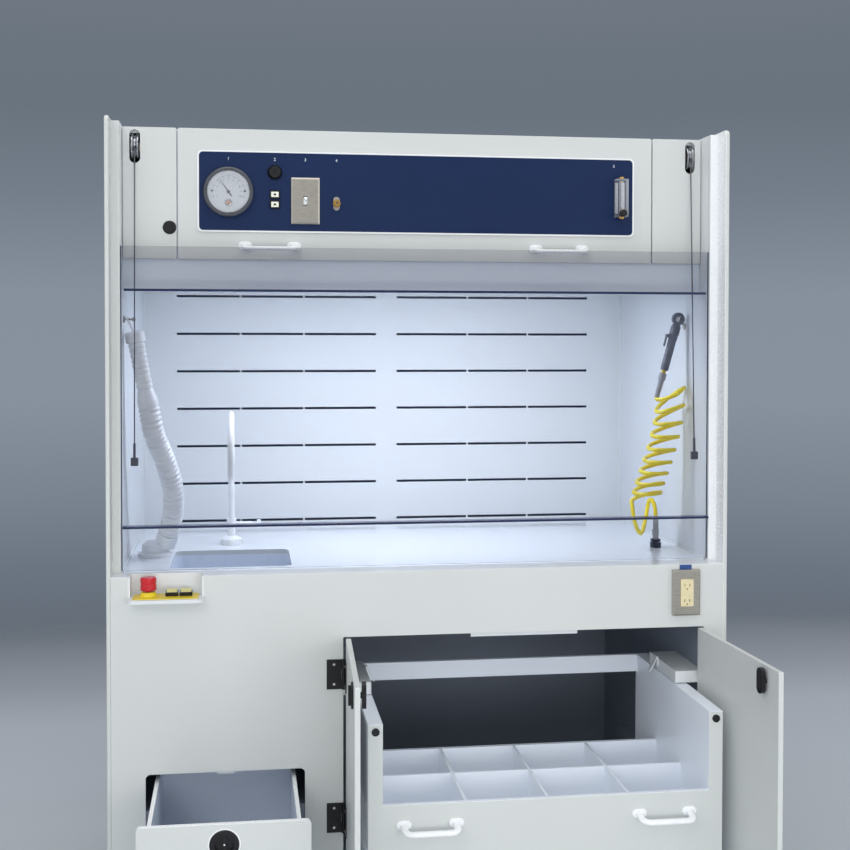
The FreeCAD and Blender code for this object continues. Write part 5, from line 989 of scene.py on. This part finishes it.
# The hoses
@dataclass
class RibbedHose:
    """The ribbed suction hose from the hand piece to its elbow on the deck."""

    top: Point = (-673.7, 45.0, 1308.5)
    top_axis: Point = (33.3, 17.0, -185.5)
    route: tuple[Point, ...] = ((-662.0, 64.0, 1235.0), (-642.0, 92.0, 1185.0), (-625.0, 116.0, 1130.0),
                                (-616.0, 138.0, 1075.0))
    foot: Point = (-634.0, 180.0, 972.0)
    foot_axis: Point = (12.0, -14.0, 40.0)
    lead: float = 40.0
    gap: float = 0.3
    ribs: int = 30
    crest: float = 27.0
    valley: float = 23.5
    bore: float = 21.0
    rings_per_rib: int = 12
    sides: int = 40
    wall: float = 2.0

    def line(self) -> list[Vector]:
        """The smooth line that the hose follows, in metres."""
        down, up = Vector(self.top_axis).normalized(), Vector(self.foot_axis).normalized()
        start, end = Vector(inside(*self.top)) + down * self.gap, Vector(inside(*self.foot)) + up * self.gap
        points = [start, start + down * self.lead, *[Vector(inside(*p)) for p in self.route],
                  end + up * self.lead, end]
        return line_of(route_curve("ribbed_route", [metres(p) for p in points]))

    def rib_radius(self, share: float) -> float:
        """The radius at a share of one rib's pitch: a round crest between narrow valleys."""
        wave = max(0.0, math.cos(2 * math.pi * (share - 0.6)) * 0.62 + 0.42)
        return self.valley + (self.crest - self.valley) * min(1.0, wave) ** 0.7

    def build(self) -> None:
        line = self.line()
        count = self.ribs * self.rings_per_rib
        spots = [p / MM for p in at_length(line, count)]
        radii = [self.rib_radius((i % self.rings_per_rib) / self.rings_per_rib) for i in range(count + 1)]
        radii[0] = radii[-1] = self.valley
        inner = [r - self.wall for r in radii[::-1]]
        hose = Workpiece().sweep(spots + spots[::-1], radii + inner, self.sides)
        made = hose.done("ribbed_hose_skin", Finish.MILKY, 60.0)
        settle(made, Body.BENCH, ["ribbed_hose"])


@dataclass
class CoilHose:
    """The coiled air hose between the air gun and its fitting on the deck."""

    centres: tuple[Point, ...] = (
        (684.0, 98.0, 1300.0), (683.5, 92.0, 1284.7), (678.0, 90.0, 1253.9), (670.5, 90.0, 1221.0),
        (661.0, 90.0, 1187.6), (651.0, 92.0, 1154.8), (641.5, 94.0, 1125.7), (632.5, 97.0, 1095.0),
        (625.0, 100.0, 1068.5), (620.5, 104.0, 1042.0))
    tilts: tuple[float, ...] = (70.0, 42.0, 20.0, 14.0, 12.0, 10.0, 9.0, 11.0, 13.0, 15.0)
    tail: tuple[Point, ...] = ((584.0, 84.0, 990.0), (612.0, 112.0, 947.0), (640.0, 160.0, 995.0),
                               (652.0, 170.0, 1050.0))
    radius: float = 37.4
    tube: float = 5.5
    points_per_turn: int = 16
    first_point: int = 4
    fitting: Point = (664.0, 150.0, 993.0)
    gap: float = 0.3
    lead: float = 11.0

    def coil_point(self, turn: float) -> Vector:
        """A point of the coil, some turns down from its top, in millimetres."""
        i = min(int(turn), len(self.centres) - 2)
        a, b = Vector(inside(*self.centres[i])), Vector(inside(*self.centres[i + 1]))
        angle = math.pi + 2 * math.pi * turn
        spread = self.radius / math.cos(math.pi / self.points_per_turn) ** 0.5
        tilt = self.tilts[i] + (self.tilts[i + 1] - self.tilts[i]) * (turn - i)
        lift = Vector((0.0, 0.0, tilt * (1 + math.cos(angle)) / 2))
        return a.lerp(b, turn - i) + Vector((math.cos(angle), math.sin(angle), 0.0)) * spread + lift

    def build(self) -> None:
        end, ring = Vector(GUN_END), Vector(GUN_RING)
        down = (end - ring).normalized()
        start = end + down * self.gap
        turns = len(self.centres) - 1
        points = [start, start + down * self.lead]
        points += [self.coil_point(k / self.points_per_turn)
                   for k in range(self.first_point, turns * self.points_per_turn + 1)]
        points += [Vector(inside(*p)) for p in self.tail]
        top = Vector(inside(*self.fitting)) + Vector((0.0, 0.0, self.gap))
        points += [top + Vector((0.0, 0.0, self.lead * 3)), top]
        places = [metres(p) for p in points]
        length = length_of(line_of(route_curve("coil_route", places)))
        curve = route_curve("coil_hose_tube", places, self.tube * MM)
        curve.materials.append(Finish.HOSE_YELLOW.material)
        made = placed("coil_hose_tube", curve)
        settle(made, Body.BENCH, ["coil_hose"])


# The header
@dataclass
class Gauge:
    """The round pressure gauge: dial, ticks, numbers and screws."""

    x: float = -476.0
    z: float = 1836.0
    dial: float = 51.3
    face: float = PANEL_FACE - 10.0
    tick_radius: float = 41.0
    ticks: int = 41
    sweep: float = 220.0
    numbers: int = 11
    number_radius: float = 30.0
    boss_drop: float = 27.0
    dot_reach: float = 40.0

    def build(self) -> None:
        """Adds what the dial carries."""
        paint("gauge_case", Finish.BEZEL, Finish.DIAL, choose=lambda c, n: int(
            math.hypot(c.x - self.x, c.z - self.z) < self.dial - 1 and abs(c.y - self.face) < 0.6))
        step = -math.radians(self.sweep) / (self.ticks - 1)
        first = math.radians(90 + self.sweep / 2)
        fan = fan_tree(Finish.PRINT, "dial_ticks")
        blank = points_mesh("tick_base", [])
        centre = tuple(metres((self.x, self.face - 0.1, self.z)))
        for name, count, length, width, stride in (("dial_fine_ticks", self.ticks, 3.0, 0.45, 1),
                                                   ("dial_main_ticks", (self.ticks - 1) // 4 + 1, 6.0, 0.9, 4)):
            piece = fan.run(name, blank, {"Count": count, "Radius": (self.tick_radius - length / 2) * MM,
                                          "First angle": first, "Step": step * stride, "Centre": centre,
                                          "Bar size": metres((length, PRINT_DEPTH, width))})
            settle(piece, Body.BENCH)
        numbers = []
        for k in range(self.numbers):
            a = first + step * 4 * k
            numbers.append(numeral(f"dial_{k}", str(k), 6.0, (self.x + self.number_radius * math.cos(a),
                                                              self.face - 0.15,
                                                              self.z + self.number_radius * math.sin(a))))
        settle(joined("dial_numbers", numbers, Finish.PRINT), Body.BENCH)
        for name, finish, lift, profile in (
                ("dial_boss", Finish.SILVER, 0.05, [(0, 0), (9.5, 0), (9.5, 1.0), (8.3, 1.6), (7.4, 1.0), (0, 1.0)]),
                ("dial_screw", Finish.COPPER, 1.0, [(0, 0), (5.4, 0), (5.0, 1.4), (3.0, 2.0), (0, 2.1)])):
            turned = Workpiece().lathe(profile, (self.x, self.face - lift, self.z - self.boss_drop), FRONT)
            settle(turned.done(name, finish), Body.BENCH)
        dots = screw_tree(Finish.PRINT, "dial_dot_screws")
        spots = [(self.x + side * self.dot_reach, self.face - 0.3, self.z + 2.0) for side in (-1, 1)]
        settle(dots.run("dial_dots", points_mesh("dots", spots), {"Head radius": 0.0026, "Head height": 0.0006}),
               Body.BENCH)


@dataclass
class FlowMeter:
    """The clear flow meter: scale, tapered tube, float and brass ends."""

    x: float = 514.0
    low: float = 1788.0
    high: float = 1884.0
    front: float = PANEL_FACE - 28.0
    middle: float = PANEL_FACE - 14.0

    def build(self) -> None:
        """Adds what shows in the clear block."""
        length = self.high - self.low - 17.0
        tube = Workpiece().lathe([(0, 0), (2.2, 0), (2.2, length), (0, length)], (self.x, self.middle, self.low + 11),
                                 UP, 24)
        settle(tube.done("meter_guide", Finish.SILVER), Body.BENCH)
        floats = Workpiece()
        for z, profile in ((self.low + 12, [(0, 0), (2.4, 3.0), (3.6, 7.0), (3.6, 9.0), (0, 9.0)]),
                           (self.high - 9.5, [(0, 0), (4.6, 0), (4.6, 3.0), (0, 3.0)]),
                           (self.low + 6.5, [(0, 0), (4.6, 0), (4.6, 3.0), (0, 3.0)])):
            floats.lathe(profile, (self.x, self.middle, z), UP, 24)
        settle(floats.done("meter_float", Finish.BRASS), Body.BENCH)
        rows = row_tree(Finish.PRINT, "meter_scale")
        blank = points_mesh("scale_base", [])
        for side, name in ((-1, "meter_scale_left"), (1, "meter_scale_right")):
            piece = rows.run(name, blank, {
                "Count": 13, "Start": tuple(metres((self.x + side * 8.2, self.front - 0.15, self.low + 22.0))),
                "Step": (0.0, 0.0, 4.4 * MM), "Bar size": metres((3.6, PRINT_DEPTH, 0.55))})
            settle(piece, Body.BENCH)
        card = Workpiece()
        for side in (-1, 1):
            card.bar((self.x + side * 9.0 - 3.4, PANEL_FACE - 1.0, self.low + 10),
                     (self.x + side * 9.0 + 3.4, PANEL_FACE - 0.4, self.high - 8))
        settle(card.done("meter_card", Finish.WHITE_PRINT), Body.BENCH)


@dataclass
class Header:
    """What the header carries: the buttons' marks, the panel's border and numbers, the gauge and the meter."""

    half: float = 551.4
    low: float = 1738.6
    high: float = 1938.4
    corner: float = 12.0
    border: float = 4.0
    number_size: float = 10.0
    number_z: float = 1918.0
    button_x: float = -363.0
    button_zs: tuple[float, float] = (1831.5, 1807.0)
    mark_half: tuple[float, float] = (3.0, 2.2)
    number_xs: tuple[float, ...] = (-476.0, -363.0, -288.0, -211.0, 498.0)

    def build(self) -> None:
        """Adds the buttons' marks and the panel's border and numbers."""
        dx, dz = self.mark_half
        for name, body, z in zip(("upper_mark", "lower_mark"), (Body.UPPER_BUTTON, Body.LOWER_BUTTON), self.button_zs):
            mark = Workpiece().bar((self.button_x - dx, PANEL_FACE - 8.25, z - dz),
                                   (self.button_x + dx, PANEL_FACE - 7.9, z + dz))
            settle(mark.done(name, Finish.PRINT), body)
        inset = self.border
        outer = round_corners(-self.half, self.half, self.low, self.high, self.corner)
        inner = round_corners(-self.half + inset, self.half - inset, self.low + inset, self.high - inset,
                              self.corner - inset / 2)
        # The border is the panel's cut edge in the bright finish, partly a painted highlight.
        line = Workpiece().border(outer, inner, PANEL_FACE - 0.5, PANEL_FACE + 2.4)
        settle(line.done("panel_border", Finish.CUT_EDGE_HIGHLIGHT, 30.0), Body.BENCH)
        marks = [numeral(f"place_{k + 1}", str(k + 1), self.number_size, (x, PANEL_FACE - 0.1, self.number_z))
                 for k, x in enumerate(self.number_xs)]
        settle(joined("panel_numbers", marks, Finish.WHITE_PRINT), Body.BENCH)
        Gauge().build()
        FlowMeter().build()


@dataclass
class Sash:
    """The clear sash and its ledges, with their dark cut edges."""

    edge: float = HOOD_IN - 1.4
    half: float = 1.1
    low: float = DECK_Z + 3.0
    high: float = DECK_Z + 784.0

    def build(self) -> None:
        """Finishes the sash."""
        paint("sash_pane", Finish.SASH, Finish.SHEET_EDGE, choose=lambda c, n: int(abs(n.y) <= 0.8))
        paint("sash_ledges", Finish.LEDGE, Finish.SHEET_EDGE, choose=lambda c, n: int(abs(n.z) <= 0.8))
        lines = Workpiece()
        for x in (-self.edge, self.edge):
            lines.bar((x - self.half, PANE_FRONT - 0.4, self.low), (x + self.half, PANE_FRONT + 0.1, self.high))
        settle(lines.done("sash_side_lines", Finish.SHEET_EDGE), Body.SASH)


@dataclass
class Hood:
    """The lit work space: side panels, walls, slotted back, lamp and their weld beads."""

    bead: float = 3.2
    pitch: float = 2.6
    lamp_depth: float = 5.2
    lamp_reach: float = 577.9

    def beads(self) -> None:
        """Lays the weld beads along the inside corners."""
        tree = bead_tree(Finish.WELD, "corner_beads")
        inset = self.bead * 0.4
        x, y, z = HOOD_IN - inset, BAFFLE_Y - inset, DECK_Z + inset
        lines = {
            "bead_back_deck": [(-x, y, z), (x, y, z)],
            "bead_left_deck": [(-x, POST_Y + 4, z), (-x, y, z)],
            "bead_right_deck": [(x, POST_Y + 4, z), (x, y, z)],
            "bead_left_back": [(-x, y, z), (-x, y, CEILING_Z)],
            "bead_right_back": [(x, y, z), (x, y, CEILING_Z)],
        }
        for name, ends in lines.items():
            curve = route_curve(name, [metres(p) for p in ends], kind="POLY")
            settle(tree.run(name, curve, {"Pitch": self.pitch * MM, "Radius": self.bead * MM}, 80.0),
                   Body.BENCH)

    def build(self) -> None:
        """Finishes the hood."""
        # The right side panel's inner face gets the bright white: painted light on its lit side.
        paint("side_panels", Finish.BODY_SHEET, Finish.HANDLE_AND_LIT_FACE, choose=lambda c, n: int(c.x > 0 and n.x < -0.5))
        # In front of the posts the walls take the cover's colour, and on the right the bright white as painted light.
        paint("hood_walls", Finish.WHITE_SHEET, Finish.BODY_SHEET, Finish.HANDLE_AND_LIT_FACE,
              choose=lambda c, n: (2 if c.x > 0 else 1) if c.y < POST_Y + 1 else 0)
        paint("back_baffle", Finish.WHITE_SHEET, Finish.SLOT, choose=lambda c, n: int(c.y > BAFFLE_Y + 0.5))
        paint("hood_light", Finish.WHITE_SHEET, Finish.HOOD_LAMP, choose=lambda c, n: int(
            abs(c.z - CEILING_Z) < self.lamp_depth and abs(c.x) < self.lamp_reach))
        self.beads()


@dataclass
class Deck:
    """The glossy deck, the coiled hose's fitting and the air gun."""

    fitting_black: float = DECK_Z + 23.5
    tip_from: float = 142.2
    tail_from: float = 149.8

    def build(self) -> None:
        """Finishes what stands on the deck in more than one finish."""
        paint("deck", Finish.DECK_SHEET, Finish.BODY_SHEET, choose=lambda c, n: int(n.y < -0.5))
        paint("coil_fitting", Finish.BLACK, Finish.GREY_FITTING, choose=lambda c, n: int(c.z > self.fitting_black))
        ring = Vector(GUN_RING)
        heading = (Vector(GUN_END) - ring).normalized()
        paint("air_gun", Finish.DARK_GREY, Finish.YELLOW_TIP, Finish.GREY_FITTING, choose=lambda c, n: int(
            (c - ring).dot(heading) > self.tip_from) + int((c - ring).dot(heading) > self.tail_from))


@dataclass
class Station:
    """The blue strip above the outlet."""

    low: Point = (638.0, FRONT_Y - 0.8, 902.0)
    high: Point = (669.0, FRONT_Y + 0.5, 913.0)

    def build(self) -> None:
        """Adds the strip."""
        settle(Workpiece().bar(self.low, self.high).done("outlet_strip", Finish.BLUE_STRIP), Body.BENCH)


@dataclass
class Cabinet:
    """Apron, cabinet sheets, doors with their latches, both drawers and what they run on."""

    left_pin: tuple[float, float] = (-203.0, FRONT_Y - 5.0)
    right_pin: tuple[float, float] = (701.0, FRONT_Y - 5.0)
    left_angle: float = -92.3
    right_angle: float = 92.6
    bin_front: float = HEADER_Y - 354.0
    ring_place: Point = (-484.5, HEADER_Y - 457.0, 396.0)

    @staticmethod
    def leaf_or_sheet(centre: Vector, pin: tuple[float, float], angle: float) -> int:
        """Whether a face of an open door belongs to a hinge leaf.

        Args:
            centre: The face's centre in millimetres.
            pin: The hinge pin's place.
            angle: How far the door stands open, in degrees.

        Returns:
            1 for a hinge leaf, 2 for a screw on it, 0 for the sheet.
        """
        turn = math.radians(-angle)
        dx, dy = centre.x - pin[0], centre.y - pin[1]
        along, across = math.cos(turn) * dx - math.sin(turn) * dy, math.sin(turn) * dx + math.cos(turn) * dy
        if 1.5 < across < 2.45 and abs(along) > 8.0:
            return 2
        return int(across < 4.9)

    def build(self) -> None:
        """Finishes the cabinet."""
        for node, pin, angle in (("door_left", self.left_pin, self.left_angle),
                                 ("door_right", self.right_pin, self.right_angle)):
            paint(node, Finish.BODY_SHEET, Finish.BLACK, Finish.SILVER,
                  choose=lambda c, n, pin=pin, angle=angle: self.leaf_or_sheet(c, pin, angle))
        paint("apron_hinges", Finish.BLACK, Finish.SILVER, choose=lambda c, n: int(
            -3.4 < c.y - FRONT_Y < -2.55 and min(abs(c.x - self.left_pin[0]), abs(c.x - self.right_pin[0])) > 8.0))
        # The bottle drawer's front faces wear the cover's colour, and its other faces the tray sheet with its painted
        # glow.
        paint("bottle_drawer", Finish.TRAY_SHEET, Finish.BODY_SHEET,
              choose=lambda c, n: int(n.y < -0.8 and c.y < self.bin_front + 1.0))
        x, y, z = self.ring_place
        # The rim round the ring latch is the hole's cut edge in the bright finish, partly a painted highlight; the
        # centre dot is print.
        for name, finish, body, slot, front, profile in (
                ("ring_latch_rim", Finish.CUT_EDGE_HIGHLIGHT, Body.SMALL_TRAY, "pp_body", y,
                 [(32.2, 0), (35.0, 0), (35.0, 1.0), (32.2, 1.0)]),
                ("ring_latch_dot", Finish.WHITE_PRINT, Body.TRAY_LATCH, "pp_white", y - 1.2,
                 [(0, 0), (1.8, 0), (1.8, 0.4), (0, 0.6)])):
            turned = Workpiece().lathe(profile, (x, front, z), FRONT, 48 if body is Body.SMALL_TRAY else 20)
            settle(turned.done(name, finish), body)
        # The small drawer's front faces wear the cover's colour, and its upward faces above 380 mm wear the bright
        # white as painted light on its tops.
        paint("small_drawer", Finish.DRAWER_SHEET, Finish.BODY_SHEET, Finish.HANDLE_AND_LIT_FACE, choose=lambda c, n: (
            1 if n.y < -0.8 and c.y < self.ring_place[1] + 1.0 else 2 if n.z > 0.8 and c.z > 380.0 else 0))


def main() -> None:
    """Builds the studio and the bench in order."""
    logging.basicConfig(level=logging.INFO, format="%(name)s: %(message)s")
    for finish, nodes in PLAIN.items():
        for node in nodes:
            paint(node, finish)
    for part in (Studio(), RibbedHose(), CoilHose(), Header(), Sash(), Hood(), Deck(), Station(), Cabinet()):
        LOG.info("building %s", type(part).__name__)
        part.build()


if __name__ == "__main__":
    main()
